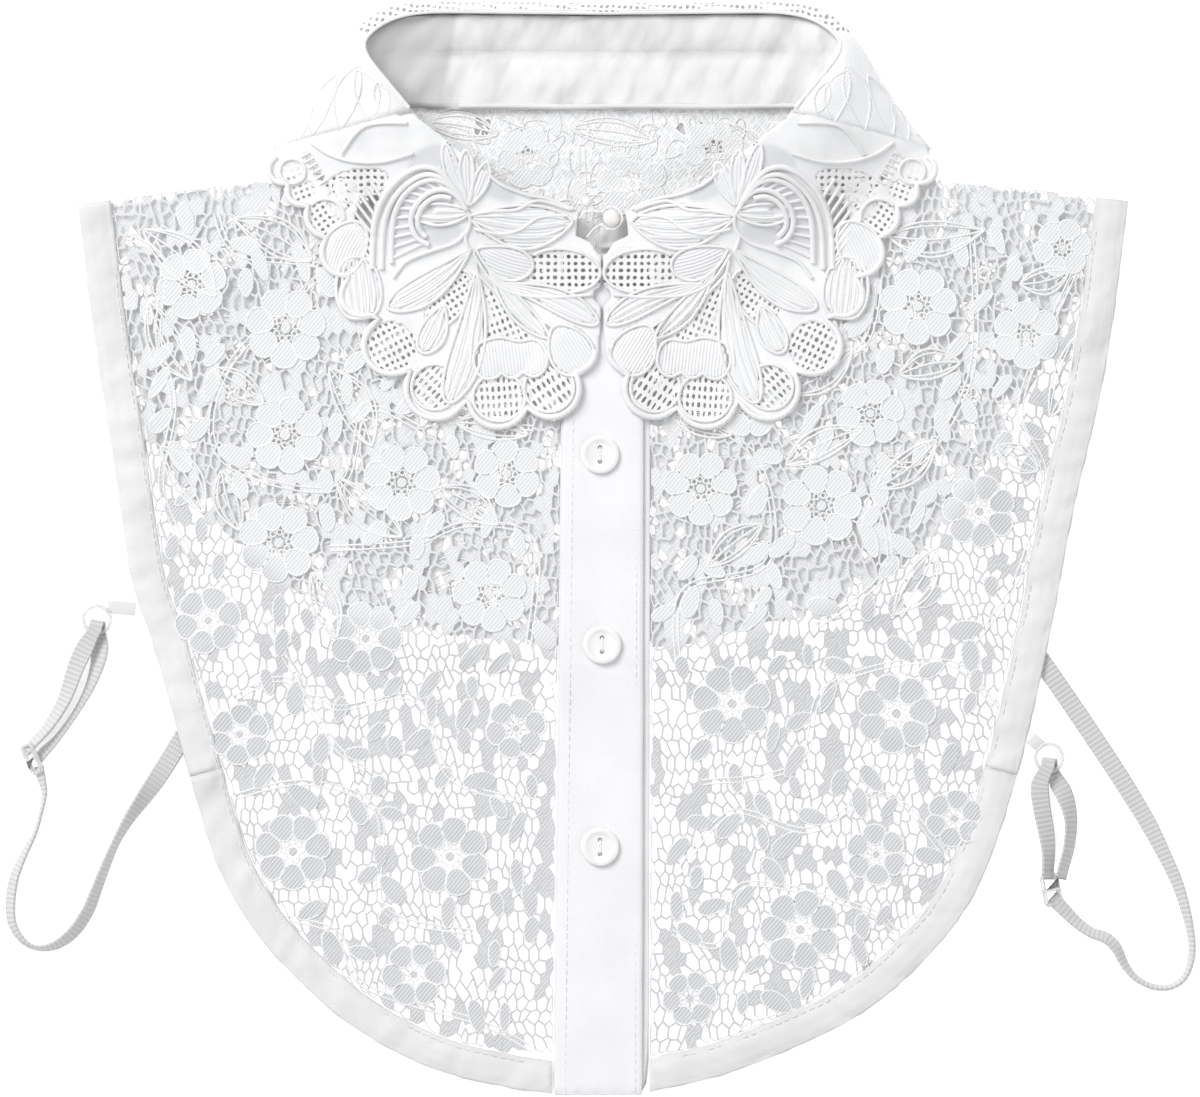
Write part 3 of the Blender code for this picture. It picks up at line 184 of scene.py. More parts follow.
def shade(tree, shader, value, dark, light, low=0.3, high=0.7):
    """Colour between two tones by a value."""
    tones = node(tree, "ValToRGB")
    tones.color_ramp.elements[0].position = low
    tones.color_ramp.elements[0].color = (*dark, 1.0)
    tones.color_ramp.elements[1].position = high
    tones.color_ramp.elements[1].color = (*light, 1.0)
    tree.links.new(value, tones.inputs["Fac"])
    tree.links.new(tones.outputs["Color"], shader.inputs["Base Color"])


def bump(tree, shader, value, rise):
    """Relief of a height in millimetres."""
    made = node(tree, "Bump", Strength=1.0, Distance=rise * MM)
    tree.links.new(value, made.inputs["Height"])
    tree.links.new(made.outputs["Normal"], shader.inputs["Normal"])


# %% Cloth finishes
def toned(tree, shader, share, tone):
    """Another tone by a share from 0 to 1."""
    blend = node(tree, "MixRGB", Color2=(*tone, 1.0))
    tree.links.new(share, blend.inputs["Fac"])
    tree.links.new(shader.inputs["Base Color"].links[0].from_socket, blend.inputs["Color1"])
    tree.links.new(blend.outputs["Color"], shader.inputs["Base Color"])


def past(tree, value, start, end):
    """0 before a place and 1 past it, smoothly."""
    step = node(tree, "MapRange", interpolation_type="SMOOTHSTEP",
                **{"From Min": start, "From Max": end})
    tree.links.new(value, step.inputs["Value"])
    return step.outputs["Result"]


def part_of(tree, axis):
    """One part of the place, in millimetres: X across, Y towards the neck, Z up."""
    split = node(tree, "SeparateXYZ")
    tree.links.new(placed(tree), split.inputs[0])
    return split.outputs[axis]


def thread_finish(name, tone, twist, glow=0.0):
    """Bobbin thread: fine twisted strands with some uneven tone."""
    made, tree, shader = material(name, tone, 0.8, 0.2, glow)
    strands = bands(tree, placed(tree, 35.0), twist, 2.0)
    uneven = blotches(tree, placed(tree), 9.0)
    value = combine(tree, uneven, strands, "ADD", 0.25)
    shade(tree, shader, value, [t * 0.9 for t in tone], tone, 0.35, 0.75)
    bump(tree, shader, strands, 0.08)
    return made


def hatched_finish(name, tone, glow=0.0):
    """The lace's cloth stitch: fine parallel threads on the slant, with painted shade in the slits
    between.
    """
    made, tree, shader = material(name, tone, 0.75, 0.2, glow)
    hatch = bands(tree, placed(tree, 40.0), 1.05, 1.2)
    cross = bands(tree, placed(tree, -50.0), 0.8, 1.2)
    uneven = blotches(tree, placed(tree), 7.0)
    value = combine(tree, combine(tree, hatch, cross, "ADD", 0.35), uneven, "ADD", 0.6)
    shade(tree, shader, value, [t * 0.62 for t in tone], tone, 0.3, 1.1)
    bump(tree, shader, hatch, 0.12)
    return made


def satin_finish(name, tone, period):
    """Satin stitch: close ridges that follow the petal's own UV map."""
    made, tree, shader = material(name, tone, 0.55, 0.3)
    ridges = bands(tree, placed(tree, uv=True), period, 0.6)
    fine = bands(tree, placed(tree, 20.0), 0.5, 2.0)
    value = combine(tree, ridges, fine, "ADD", 0.25)
    shade(tree, shader, value, [t * 0.9 for t in tone], tone, 0.2, 0.9)
    bump(tree, shader, value, 0.18)
    return made


def moulded_finish(name, colour, roughness, size, tones, inputs, turn=0.0, stretch=(1.0, 1.0, 1.0)):
    """Plastic or pearl: soft blotches between two tones, and more of the shader's inputs by name."""
    made, tree, shader = material(name, colour, roughness)
    fill_in(shader, inputs)
    shade(tree, shader, blotches(tree, placed(tree, turn, stretch=stretch), size), *tones)
    return made


def cotton_finish(name, tone):
    """Plain woven lawn: warp and weft at half a millimetre, slubs and soft mottling."""
    made, tree, shader = material(name, tone, 0.85, 0.25)
    warp = bands(tree, placed(tree), 0.45, 1.0)
    weft = bands(tree, placed(tree, 90.0), 0.45, 1.0)
    slubs = blotches(tree, placed(tree, stretch=(1.0, 0.15, 1.0)), 0.8)
    mottle = blotches(tree, placed(tree), 22.0, 2.0)
    weave = combine(tree, warp, weft)
    value = combine(tree, mottle, slubs, "ADD", 0.25)
    shade(tree, shader, value, [t * 0.94 for t in tone], tone, 0.4, 0.8)
    bump(tree, shader, combine(tree, weave, slubs, "ADD", 1.5), 0.03)
    return made


# The glow of the lace threads and hatched cloth is painted light, which lifts the shade between the
# lace layers.
net_thread = thread_finish("net_thread", (0.64, 0.64, 0.645), 0.7, 0.02)
back_thread = thread_finish("back_thread", (0.66, 0.66, 0.665), 0.7, 0.14)
hatched = hatched_finish("hatched_cloth_stitch", (0.62, 0.625, 0.64), 0.09)
outline_thread = thread_finish("outline_thread", (0.90, 0.90, 0.90), 0.8, 0.02)
guipure_cord = thread_finish("guipure_cord", (0.93, 0.93, 0.93), 0.6)
guipure_satin = satin_finish("guipure_satin", (0.92, 0.922, 0.93), 1.1)
cotton = cotton_finish("cotton_lawn", (0.80, 0.80, 0.79))
placket_cotton = cotton_finish("cotton_placket", (0.90, 0.895, 0.91))

# Where the fronts lie on the back, light between the layers makes their thread look whiter. The
# lace carries how far it is doubled as an attribute of its own.
for finish, tone in ((net_thread, (0.76, 0.76, 0.765)), (hatched, (0.72, 0.725, 0.735))):
    tree = finish.node_tree
    share = node(tree, "Attribute", attribute_name="doubled").outputs["Fac"]
    toned(tree, tree.nodes["Principled BSDF"], share, tone)
NECK_LACE_AT = 108.0      # the back's lace shows alone above this
# Painted shade: the back's thread is darker where it lies under the fronts, in their shade, and paler
# above the neck line, where it lies alone.
tree = back_thread.node_tree
toned(tree, tree.nodes["Principled BSDF"],
      past(tree, part_of(tree, "Y"), NECK_LACE_AT - 4.0, NECK_LACE_AT + 8.0), (0.77, 0.77, 0.775))

# Painted shade: the stand's lawn is painted darker in slanting streaks for the shade of its creases,
# and darker at its left end for the fold's shade.
STREAK_WIDE = 6.5
stand_cotton = cotton_finish("cotton_stand", (0.87, 0.87, 0.86))
tree = stand_cotton.node_tree
shader = tree.nodes["Principled BSDF"]
drawn_out = node(tree, "Mapping", Scale=(1.0, 0.30, 1.0))
tree.links.new(placed(tree, 22.0), drawn_out.inputs["Vector"])
crease_shade = blotches(tree, drawn_out.outputs["Vector"], STREAK_WIDE, 2.0)
toned(tree, shader, past(tree, crease_shade, 0.40, 0.78), (0.68, 0.68, 0.67))
# Painted shade: past this slanting line the left end is darker.
leaning = combine(tree, part_of(tree, "X"), part_of(tree, "Y"), "ADD", -0.17)
toned(tree, shader, past(tree, leaning, -76.0, -79.0), (0.63, 0.63, 0.62))
print(len(bpy.data.materials), "materials so far")

# %% [markdown]
# ## Reading the frame
# The lace has to lie exactly on the layers that carry it. A ray dropped on a solid gives the
# height at any place, and the edge of a solid's upper faces gives its outline in plan.

# %% Heights and outlines
def surface(*names):
    """The named solids as one tree that rays can hit, in millimetres."""
    places, faces = [], []
    for name in names:
        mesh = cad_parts[name].data
        first = len(places)
        places += [v.co / MM for v in mesh.vertices]
        faces += [[first + i for i in face.vertices] for face in mesh.polygons]
    return BVHTree.FromPolygons(places, faces)


def height_on(tree, x, y, upward=False):
    """Height of the surface over a place, seen from above, or from below with upward."""
    start, way = (-5.0, 1.0) if upward else (60.0, -1.0)
    hit = tree.ray_cast(Vector((x, y, start)), Vector((0.0, 0.0, way)))[0]
    if hit is None:
        near = tree.find_nearest(Vector((x, y, 3.0)))[0]
        step = Vector((near.x - x, near.y - y, 0.0))
        inner = near + step.normalized() * 0.3
        hit = tree.ray_cast(Vector((inner.x, inner.y, start)), Vector((0.0, 0.0, way)))[0]
        hit = near if hit is None else hit
    return hit.z


def finer_copy(name, cuts):
    """A solid's merged mesh in millimetres, cut finer."""
    shape = bmesh.new()
    shape.from_mesh(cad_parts[name].data)
    bmesh.ops.scale(shape, vec=(1 / MM, 1 / MM, 1 / MM), verts=shape.verts)
    bmesh.ops.remove_doubles(shape, verts=shape.verts, dist=0.01)
    for _ in range(cuts):
        bmesh.ops.subdivide_edges(shape, edges=shape.edges[:], cuts=1, use_grid_fill=True)
    return shape


def plan_outline(name):
    """The outer edge of a solid's upper faces, as rows of x and y in millimetres."""
    shape = finer_copy(name, 0)
    shape.normal_update()
    beside = {}
    for edge in shape.edges:
        if sum(face.normal.z > 0.3 for face in edge.link_faces) == 1:
            a, b = edge.verts
            beside.setdefault(a, []).append(b)
            beside.setdefault(b, []).append(a)
    loops = []
    while beside:
        start = here = next(iter(beside))
        loop = []
        while here in beside:
            loop.append((here.co.x, here.co.y))
            ways = beside.pop(here)
            here = next((v for v in ways if v in beside), start)
        loops.append(np.array(loop))
    shape.free()
    return max(loops, key=lambda loop: np.ptp(loop[:, 0]) * np.ptp(loop[:, 1]))


# %% Tests in plan
def inside(outline, points):
    """Which of the points lie in the outline."""
    x, y = points[:, 0], points[:, 1]
    hit = np.zeros(len(points), bool)
    for (ax, ay), (bx, by) in zip(outline, np.roll(outline, -1, axis=0)):
        crosses = (ay > y) != (by > y)
        hit ^= crosses & (x < (bx - ax) * (y - ay) / (by - ay + 1e-12) + ax)
    return hit


def offset(path, distance, closed=True):
    """A path moved to its left."""
    before = np.roll(path, 1, axis=0) if closed else np.vstack([path[:1], path[:-1]])
    after = np.roll(path, -1, axis=0) if closed else np.vstack([path[1:], path[-1:]])
    step = after - before
    long = np.maximum(np.hypot(*step.T), 1e-6)
    return path + np.stack([-step[:, 1], step[:, 0]], axis=1) / long[:, None] * distance


def nearest(path, points, closed=True):
    """Distance from each point to a path, the nearest place on it, and how far along it is."""
    ends = np.roll(path, -1, axis=0) if closed else path[1:]
    starts = path if closed else path[:-1]
    best = np.full(len(points), 1e9)
    place = np.zeros((len(points), 2))
    along = np.zeros(len(points))
    reached = 0.0
    for a, b in zip(starts, ends):
        step = b - a
        long = max(float(np.hypot(*step)), 1e-6)
        t = np.clip(((points - a) @ step) / long ** 2, 0.0, 1.0)
        spot = a + t[:, None] * step
        away = np.hypot(*(points - spot).T)
        closer = away < best
        best[closer] = away[closer]
        place[closer] = spot[closer]
        along[closer] = reached + t[closer] * long
        reached += long
    return best, place, along


def smooth_path(rows, spacing):
    """Points at even distances on a smooth curve through the rows."""
    rows = [np.array(row, float) for row in rows]
    fine = []
    for i in range(len(rows) - 1):
        a, b = rows[max(i - 1, 0)], rows[i]
        c, d = rows[i + 1], rows[min(i + 2, len(rows) - 1)]
        for t in np.linspace(0.0, 1.0, 12, endpoint=False):
            fine.append(0.5 * (2 * b + (c - a) * t + (2 * a - 5 * b + 4 * c - d) * t ** 2
                               + (3 * b - a - 3 * c + d) * t ** 3))
    fine = np.array(fine + [rows[-1]])
    reached = np.concatenate([[0.0], np.cumsum(np.hypot(*(fine[1:, :2] - fine[:-1, :2]).T))])
    count = max(2, round(reached[-1] / spacing))
    wanted = np.linspace(0.0, reached[-1], count + 1)
    return np.stack([np.interp(wanted, reached, column) for column in fine.T], axis=1)


# %% Pieces
def plan_middle(name):
    """The middle of a solid's box in plan, in millimetres."""
    low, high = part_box(name)
    return (low.x + high.x) / 2 / MM, (low.y + high.y) / 2 / MM


def rider(name, mesh, slot_name, replaced):
    """A mesh as an object that rides on the root, names its slot and hides the solids it replaces."""
    made = bpy.data.objects.new(name, mesh)
    link(made)
    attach(made, "root")
    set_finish(made, slot_name)
    if replaced:
        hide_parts(*replaced)
    print(name, len(mesh.polygons), "faces")
    return made


def piece(name, shape, finishes, slot_name, replaced=(), smooth=True):
    """A bmesh in millimetres as a finished object at the origin that rides on the root."""
    bmesh.ops.scale(shape, vec=(MM, MM, MM), verts=shape.verts)
    mesh = bpy.data.meshes.new(name)
    shape.to_mesh(mesh)
    shape.free()
    for finish in finishes:
        mesh.materials.append(finish)
    if smooth:
        mesh.shade_smooth()
    return rider(name, mesh, slot_name, replaced)


def thicken(made, thick, offset=-1.0, rounding=0):
    """Live Solidify, after an optional Subdivision Surface."""
    if rounding:
        soft = made.modifiers.new("rounding", "SUBSURF")
        soft.levels = soft.render_levels = rounding
    wall = made.modifiers.new("wall", "SOLIDIFY")
    wall.thickness = thick * MM
    wall.offset = offset


def cords(name, paths, finish, slot_name, sides=2, replaced=()):
    """Round cords along paths of x, y, z and radius, as one mesh."""
    curve = bpy.data.curves.new(name, "CURVE")
    curve.dimensions = "3D"
    curve.bevel_depth = MM
    curve.bevel_resolution = sides
    curve.use_fill_caps = True
    for path, closed in paths:
        spline = curve.splines.new("POLY")
        spline.points.add(len(path) - 1)
        for point, (x, y, z, radius) in zip(spline.points, path):
            point.co = (x * MM, y * MM, z * MM, 1.0)
            point.radius = radius
        spline.use_cyclic_u = closed
    lines = bpy.data.objects.new(name + "_lines", curve)
    link(lines)
    bpy.context.view_layer.update()
    mesh = bpy.data.meshes.new_from_object(lines.evaluated_get(
        bpy.context.evaluated_depsgraph_get()))
    bpy.data.objects.remove(lines, do_unlink=True)
    mesh.name = name
    mesh.materials.clear()
    mesh.materials.append(finish)
    mesh.shade_smooth()
    return rider(name, mesh, slot_name, replaced)


# %% [markdown]
# ## The floor
# A plain sheet of pale paper, a little self-lit so that the garment's shadow stays faint on it.

# %% Floor
PAPER_GLOW = 0.4
PAPER_HALF = 1.6          # metres
PAPER_DOWN = 0.0003       # below the garment's underside, so that the two never share a plane

floor_finish = material("paper", (1.0, 1.0, 1.0), 0.9, glow=PAPER_GLOW)[0]
floor_shape = bmesh.new()
bmesh.ops.create_grid(floor_shape, x_segments=1, y_segments=1, size=PAPER_HALF)
bmesh.ops.translate(floor_shape, vec=(0.0, 0.0, -PAPER_DOWN), verts=floor_shape.verts)
floor_mesh = bpy.data.meshes.new("floor")
floor_shape.to_mesh(floor_mesh)
floor_shape.free()
floor_mesh.materials.append(floor_finish)
floor = bpy.data.objects.new("floor", floor_mesh)
link(floor)
print("floor laid")

# %% [markdown]
# ## Net ground of the fronts and the back
# Bobbin net is a honeycomb of thin threads, pulled out of true by hand. A row of hexagons is
# repeated with spin, the doubles are merged, and soft noise warps the corners. Insetting each cell
# and deleting its middle leaves the threads, so the floor really shows through the openings, as it
# does in the photograph. Where slow noise is high the middles stay, as cells worked solid.

# %% Net helper
NET_WIDE = 3.2
NET_TALL = 4.5            # from one row of cells to the next
NET_THREAD = 0.36         # half of a thread's width
NET_THICK = 0.48
OPENED = 0.05             # share of the threads that are left out, for larger holes
SLOW_PULL = (15.0, 3.0, 3.2)       # size of the slow noise, and how far it moves a corner
QUICK_PULL = (2.6, 1.4, 1.8)
WORKED_PATCH = (7.0, 9.0)          # size of the patches of cells worked solid
HATCHED = 1                        # the hatched finish among a lace layer's own


def honeycomb(outline, wide, tall):
    """Six-sided cells side by side over an outline's box."""
    low, high = outline.min(axis=0), outline.max(axis=0)
    net = bmesh.new()
    bmesh.ops.create_circle(net, cap_ends=True, segments=6, radius=1.0)
    bmesh.ops.scale(net, vec=(wide / math.sqrt(3), tall / 1.5, 1.0), verts=net.verts)
    bmesh.ops.translate(net, vec=(low[0], low[1], 0.0), verts=net.verts)
    across = math.ceil((high[0] - low[0]) / wide) + 1
    up = math.ceil((high[1] - low[1]) / tall / 2) + 1

    def repeat(step, steps):
        bmesh.ops.spin(net, geom=net.verts[:] + net.edges[:] + net.faces[:], cent=(0, 0, 0),
                       axis=(0, 0, 1), angle=0.0, dvec=step, steps=steps, use_duplicate=True)

    repeat((wide, 0.0, 0.0), across)
    row = bmesh.ops.duplicate(net, geom=net.verts[:] + net.edges[:] + net.faces[:])["geom"]
    bmesh.ops.translate(net, vec=(wide / 2, tall, 0.0),
                        verts=[v for v in row if isinstance(v, bmesh.types.BMVert)])
    repeat((0.0, 2 * tall, 0.0), up)
    bmesh.ops.remove_doubles(net, verts=net.verts, dist=0.1)
    return net


def warped(x, y, seed):
    """A place of the even honeycomb pulled out of true."""
    long, slow_x, slow_y = SLOW_PULL
    short, quick_x, quick_y = QUICK_PULL
    slow = noise.noise_vector(Vector((x / long, y / long, seed)))
    quick = noise.noise_vector(Vector((x / short, y / short, seed + 7.0)))
    return x + slow_x * slow.x + quick_x * quick.x, y + slow_y * slow.y + quick_y * quick.y


def drop_faces(net, keep):
    """Deletes the faces that aren't kept."""
    gone = [face for face, kept in zip(net.faces[:], keep) if not kept]
    bmesh.ops.delete(net, geom=gone, context="FACES")


def centres(net):
    return np.array([face.calc_center_median()[:2] for face in net.faces])


def lace_net(outline, tree, seed, open_places, wide, tall, sink, worked):
    """The threads of a net over an outline, with bare places, lying just inside a surface.

    A cell is worked solid where slow noise passes what worked(x, y) gives for its place."""
    net = honeycomb(outline, wide, tall)
    for corner in net.verts:
        corner.co.x, corner.co.y = warped(corner.co.x, corner.co.y, seed)
    middles = centres(net)
    keep = inside(outline, middles)
    for x, y, radius in open_places:
        keep &= np.hypot(middles[:, 0] - x, middles[:, 1] - y) > radius
    drop_faces(net, keep)
    corners = np.array([v.co[:2] for v in net.verts])
    outer = ~inside(outline, corners)
    _, snapped, _ = nearest(outline, corners)
    for vertex, out, place in zip(net.verts, outer, snapped):
        if out:
            vertex.co.x, vertex.co.y = place
    pick = random.Random(seed)
    spare = [edge for edge in net.edges if len(edge.link_faces) == 2 and pick.random() < OPENED]
    bmesh.ops.dissolve_edges(net, edges=spare, use_verts=False)
    cells = net.faces[:]
    spans = []
    for cell in cells:
        middle = cell.calc_center_median()
        spans.append((cell, middle, max((v.co - middle).length for v in cell.verts)))
    bmesh.ops.inset_individual(net, faces=cells, thickness=NET_THREAD, use_even_offset=True)
    for cell, middle, span in spans:       # a cell too thin for its inset closes
        for vertex in cell.verts:
            if (vertex.co - middle).length > span:
                vertex.co = middle
    opened = []
    for cell, middle, _ in spans:
        x, y = middle.x, middle.y
        spot = Vector((x / WORKED_PATCH[0], y / WORKED_PATCH[1], seed + 3.0))
        if noise.noise(spot) > worked(x, y):
            cell.material_index = HATCHED
        else:
            opened.append(cell)
    bmesh.ops.delete(net, geom=opened, context="FACES_ONLY")
    print(len(cells), "cells,", len(cells) - len(opened), "of them worked solid")
    for vertex in net.verts:
        vertex.co.z = height_on(tree, vertex.co.x, vertex.co.y) - sink
    return net


# %% [markdown]
# ## Flowers, leaves and stems of the lace
# Each flower of this lace has six or seven petals of hatched cloth stitch round a ring of little
# eyelets. A petal is a circle pulled to an egg, inset once so that it domes, and laid on the net.
# The thicker outline thread round each petal is a cord of its own. All are given in charts.

# %% Motif helpers
PETAL_DOME = 0.06
EYELETS = 9
EYELET_WIDE = 1.9
LEAF_OFF = 42.0           # turn of a leaf away from its stem, in degrees


def egg(x, y, long, wide, turn, fat=0.0, count=18):
    """Outline of a petal: its middle, length, width, turn in degrees, and how far it is egg-shaped."""
    ring = []
    for k in range(count):
        a = 2 * math.pi * k / count
        u, v = math.cos(a), math.sin(a)
        ring.append((u * long / 2, v * wide / 2 * (1.0 + fat * u)))
    c, s = math.cos(math.radians(turn)), math.sin(math.radians(turn))
    return [(x + u * c - v * s, y + u * s + v * c) for u, v in ring]


def leaf_outline(row, count=22):
    """Outline and middle line of a leaf: base, tip, width, fattest place, bend and bluntness."""
    bx, by, tx, ty, wide, fattest, bend, power = row[:8]
    long = math.hypot(tx - bx, ty - by)
    ux, uy = (tx - bx) / long, (ty - by) / long
    skew = math.log(0.5) / math.log(fattest)
    left, right, middle = [], [], []
    for k in range(count + 1):
        t = 0.5 - 0.5 * math.cos(math.pi * k / count)
        half = wide / 2 * math.sin(math.pi * t ** skew) ** power if 0 < k < count else 0.0
        sway = bend * math.sin(math.pi * t)
        cx, cy = bx + ux * long * t - uy * sway, by + uy * long * t + ux * sway
        middle.append((cx, cy))
        left.append((cx - uy * half, cy + ux * half))
        right.append((cx + uy * half, cy - ux * half))
    return np.array(left + right[-2:0:-1]), np.array(middle)


def lay_patch(shape, ring, tree, lift):
    """A filled petal laid on a surface, with its middle raised a little."""
    made = bmesh.ops.create_circle(shape, cap_ends=True, segments=len(ring), radius=1.0)
    for vertex, (x, y) in zip(made["verts"], ring):
        vertex.co = (x, y, height_on(tree, x, y) + lift)
    face = made["verts"][0].link_faces[0]
    face.material_index = HATCHED
    size = min(np.ptp(np.array(ring), axis=0))
    inset = bmesh.ops.inset_region(shape, faces=[face], thickness=size * 0.22, depth=0.0)
    for rim in inset["faces"]:
        rim.material_index = HATCHED
    for vertex in face.verts:
        vertex.co.z += PETAL_DOME
    if face.normal.z < 0:
        bmesh.ops.reverse_faces(shape, faces=[face] + inset["faces"])


def lie_on(tree, ring, radius, lift):
    """A path in plan as cord points on a surface."""
    return [(x, y, height_on(tree, x, y) + lift, radius) for x, y in ring]


def flower(x, y, radius, turn, petals):
    """Petal outlines, eyelets and centre of one flower."""
    rings = []
    for k in range(petals):
        a = turn + 360.0 * k / petals
        reach = radius * 0.70
        px = x + reach * math.cos(math.radians(a))
        py = y + reach * math.sin(math.radians(a))
        rings.append(egg(px, py, radius * 0.72, radius * 4.75 / petals, a, 0.22))
    eyelets = []
    for k in range(EYELETS):
        a = math.radians(turn + 360.0 / EYELETS * k)
        eyelets.append(egg(x + radius * 0.27 * math.cos(a), y + radius * 0.27 * math.sin(a),
                           EYELET_WIDE, EYELET_WIDE, 0.0, 0.0, 7))
    return rings, eyelets, egg(x, y, radius * 0.26, radius * 0.26, 0.0)


def sprays(stem):
    """Leaves on both sides of a stem."""
    path = smooth_path(stem, STEM_EVERY)
    leaves = []
    for i in range(1, len(path) - 1):
        way = math.degrees(math.atan2(*(path[i + 1] - path[i - 1])[::-1]))
        side = 1 if i % 2 else -1
        a = way + side * LEAF_OFF
        long = LEAF_LONG * (0.85 + 0.3 * ((i * 7) % 5) / 4)
        lx = path[i][0] + long * 0.62 * math.cos(math.radians(a))
        ly = path[i][1] + long * 0.62 * math.sin(math.radians(a))
        leaves.append(egg(lx, ly, long, long * 0.52, a, 0.15, 14))
    return leaves


# %% Chart of the lace
FRONT_FLOWERS = {
    "left": [
        # x, y, radius, turn, petals
        (-104.7, 73.3, 12.5, 10, 7), (-104.7, 37.7, 12, 25, 7), (-107, 2, 12.5, 5, 7),
        (-130.5, -24, 10.5, 15, 6), (-78, -30, 11.5, 0, 7), (-36.5, -15.5, 11.5, 20, 7),
        (-102.3, -101, 12, 12, 7), (-50, -102.7, 12.5, 30, 7), (-136, 88, 11, 18, 6),
        (-66, 22, 12, 8, 7), (-31, 25, 10.5, 33, 6), (-62, -142, 10, 5, 6),
        (-28, -60, 9.5, 14, 6), (-120, -62, 9.5, 24, 6),
    ],
    "right": [
        # x, y, radius, turn, petals
        (33.5, 20, 11.5, 14, 7), (73.7, 14.3, 12.5, 0, 7), (126.3, 12.3, 11.5, 22, 7),
        (106, 80.7, 12, 10, 7), (142, 71, 10.5, 31, 6), (44, -51.7, 12.5, 16, 7),
        (98.7, -55, 12.5, 4, 7), (66.7, -127, 12.5, 25, 7), (90, 45, 10.5, 12, 6),
        (50, 47, 9.5, 0, 6), (118, -90, 9, 20, 6), (30, -150, 8.5, 8, 6),
        (92, -102, 9.5, 34, 6), (154, 100, 9, 10, 6),
    ],
}
FRONT_STEMS = {
    "left": [
        # x, y of each point
        [(-158, 104), (-146, 96), (-147, 70), (-142, 48), (-146, 20), (-136, -4)],
        [(-92, 92), (-124, 60), (-126, 30), (-88, 20), (-78, 46), (-60, 40)],
        [(-90, 0), (-62, 2), (-44, 8), (-22, 2), (-24, -34)],
        [(-112, -24), (-92, -52), (-62, -50), (-50, -76), (-26, -84)],
        [(-126, -84), (-98, -78), (-74, -88), (-72, -120), (-42, -128)],
        [(-112, -122), (-88, -128), (-78, -146), (-40, -158), (-24, -166)],
        [(-122, -50), (-104, -44), (-88, -66), (-78, -74)],
        [(-128, 112), (-120, 98), (-88, 92), (-74, 66), (-40, 44), (-22, 40)],
    ],
    "right": [
        # x, y of each point
        [(158, 92), (140, 48), (148, 24), (138, -12), (122, -34)],
        [(124, 104), (124, 60), (108, 30), (92, 26), (96, -6), (72, -26)],
        [(24, 48), (52, 30), (56, -4), (28, -14), (26, -40)],
        [(136, -60), (116, -38), (76, -46), (66, -72), (34, -78)],
        [(122, -112), (96, -82), (70, -94), (44, -88), (26, -108)],
        [(100, -130), (88, -120), (48, -112), (40, -132), (24, -128)],
        [(86, -150), (52, -158), (44, -164), (26, -170)],
        [(94, 100), (88, 68), (64, 66), (32, 62), (24, 76)],
    ],
}
FRONDS = {
    "left": [
        # base x, base y, tip x, tip y, width, fattest at, bend, bluntness
        (-152, 106, -128, 84, 13, 0.50, 2, 0.8), (-150, 82, -136, 56, 11, 0.50, -2, 0.8),
        (-122, 110, -96, 96, 12, 0.55, 1.5, 0.8), (-128, 60, -112, 48, 9, 0.50, 0, 0.8),
        (-90, 60, -76, 34, 12, 0.50, 2, 0.8), (-88, 24, -66, 4, 11, 0.55, -1.5, 0.8),
        (-54, 20, -34, 8, 10, 0.50, 1.5, 0.8), (-146, 34, -132, 12, 10, 0.50, 1.5, 0.8),
        (-126, 26, -120, 6, 9, 0.50, -1, 0.8), (-48, 42, -24, 38, 9, 0.50, 1, 0.8),
        (-96, -8, -88, -30, 9, 0.50, 1, 0.8),
    ],
    "right": [
        # base x, base y, tip x, tip y, width, fattest at, bend, bluntness
        (156, 92, 140, 88, 9, 0.50, 1, 0.8), (128, 106, 96, 104, 12, 0.55, 2, 0.8),
        (158, 70, 150, 44, 10, 0.50, 2, 0.8), (120, 62, 100, 58, 10, 0.50, -1.5, 0.8),
        (84, 66, 62, 52, 11, 0.50, 1.5, 0.8), (88, 40, 62, 28, 10, 0.55, -1.5, 0.8),
        (24, 44, 44, 38, 9, 0.50, 1, 0.8), (112, 36, 92, 20, 10, 0.50, 1.5, 0.8),
        (132, 34, 146, 26, 9, 0.50, 0, 0.8), (112, 0, 98, -22, 10, 0.50, 1.5, 0.8),
        (54, 8, 36, -6, 9, 0.50, -1, 0.8),
    ],
    "back": [
        # base x, base y, tip x, tip y, width, fattest at, bend, bluntness
        (-58, 142, -34, 138, 9, 0.50, 1, 0.8), (-10, 140, 18, 136, 9, 0.50, 1, 0.8),
        (60, 126, 42, 142, 8, 0.50, 1, 0.8), (-16, 118, -28, 106, 7, 0.50, 1, 0.8),
        (-140, 72, -112, 66, 13, 0.50, 2, 0.8), (-96, 86, -112, 62, 12, 0.50, 2, 0.8),
        (-98, 44, -118, 30, 11, 0.50, 2, 0.8), (-60, 40, -34, 34, 11, 0.50, 2, 0.8),
        (-62, -14, -40, -6, 10, 0.50, 2, 0.8), (-112, 14, -90, 2, 11, 0.50, 2, 0.8),
        (34, 48, 52, 40, 10, 0.50, 2, 0.8), (78, 2, 92, -12, 10, 0.50, 2, 0.8),
        (86, 74, 106, 60, 11, 0.50, 2, 0.8), (130, 30, 114, 16, 11, 0.50, 2, 0.8),
        (34, 12, 54, 20, 10, 0.50, 2, 0.8), (104, 44, 84, 36, 10, 0.50, 2, 0.8),
    ],
}
FROND_LINES = 1.5        # from a frond's outer line to its inner one
STEM_EVERY = 10.5        # from one leaf of a stem to the next
LEAF_LONG = 10.0
STRAY_LEAVES = 72        # single leaves strewn over each front
STRAY_TRIES = 2400
STRAY_FROM_EDGE = 6.0
STRAY_APART = 4.6        # at least this far from the reach of what is there
LEAF_REACH = 3.0
STRAY_LONG = (7.0, 12.0)
STRAY_WIDE = (3.4, 5.2)
STRAY_TURN = (35.0, 110.0)


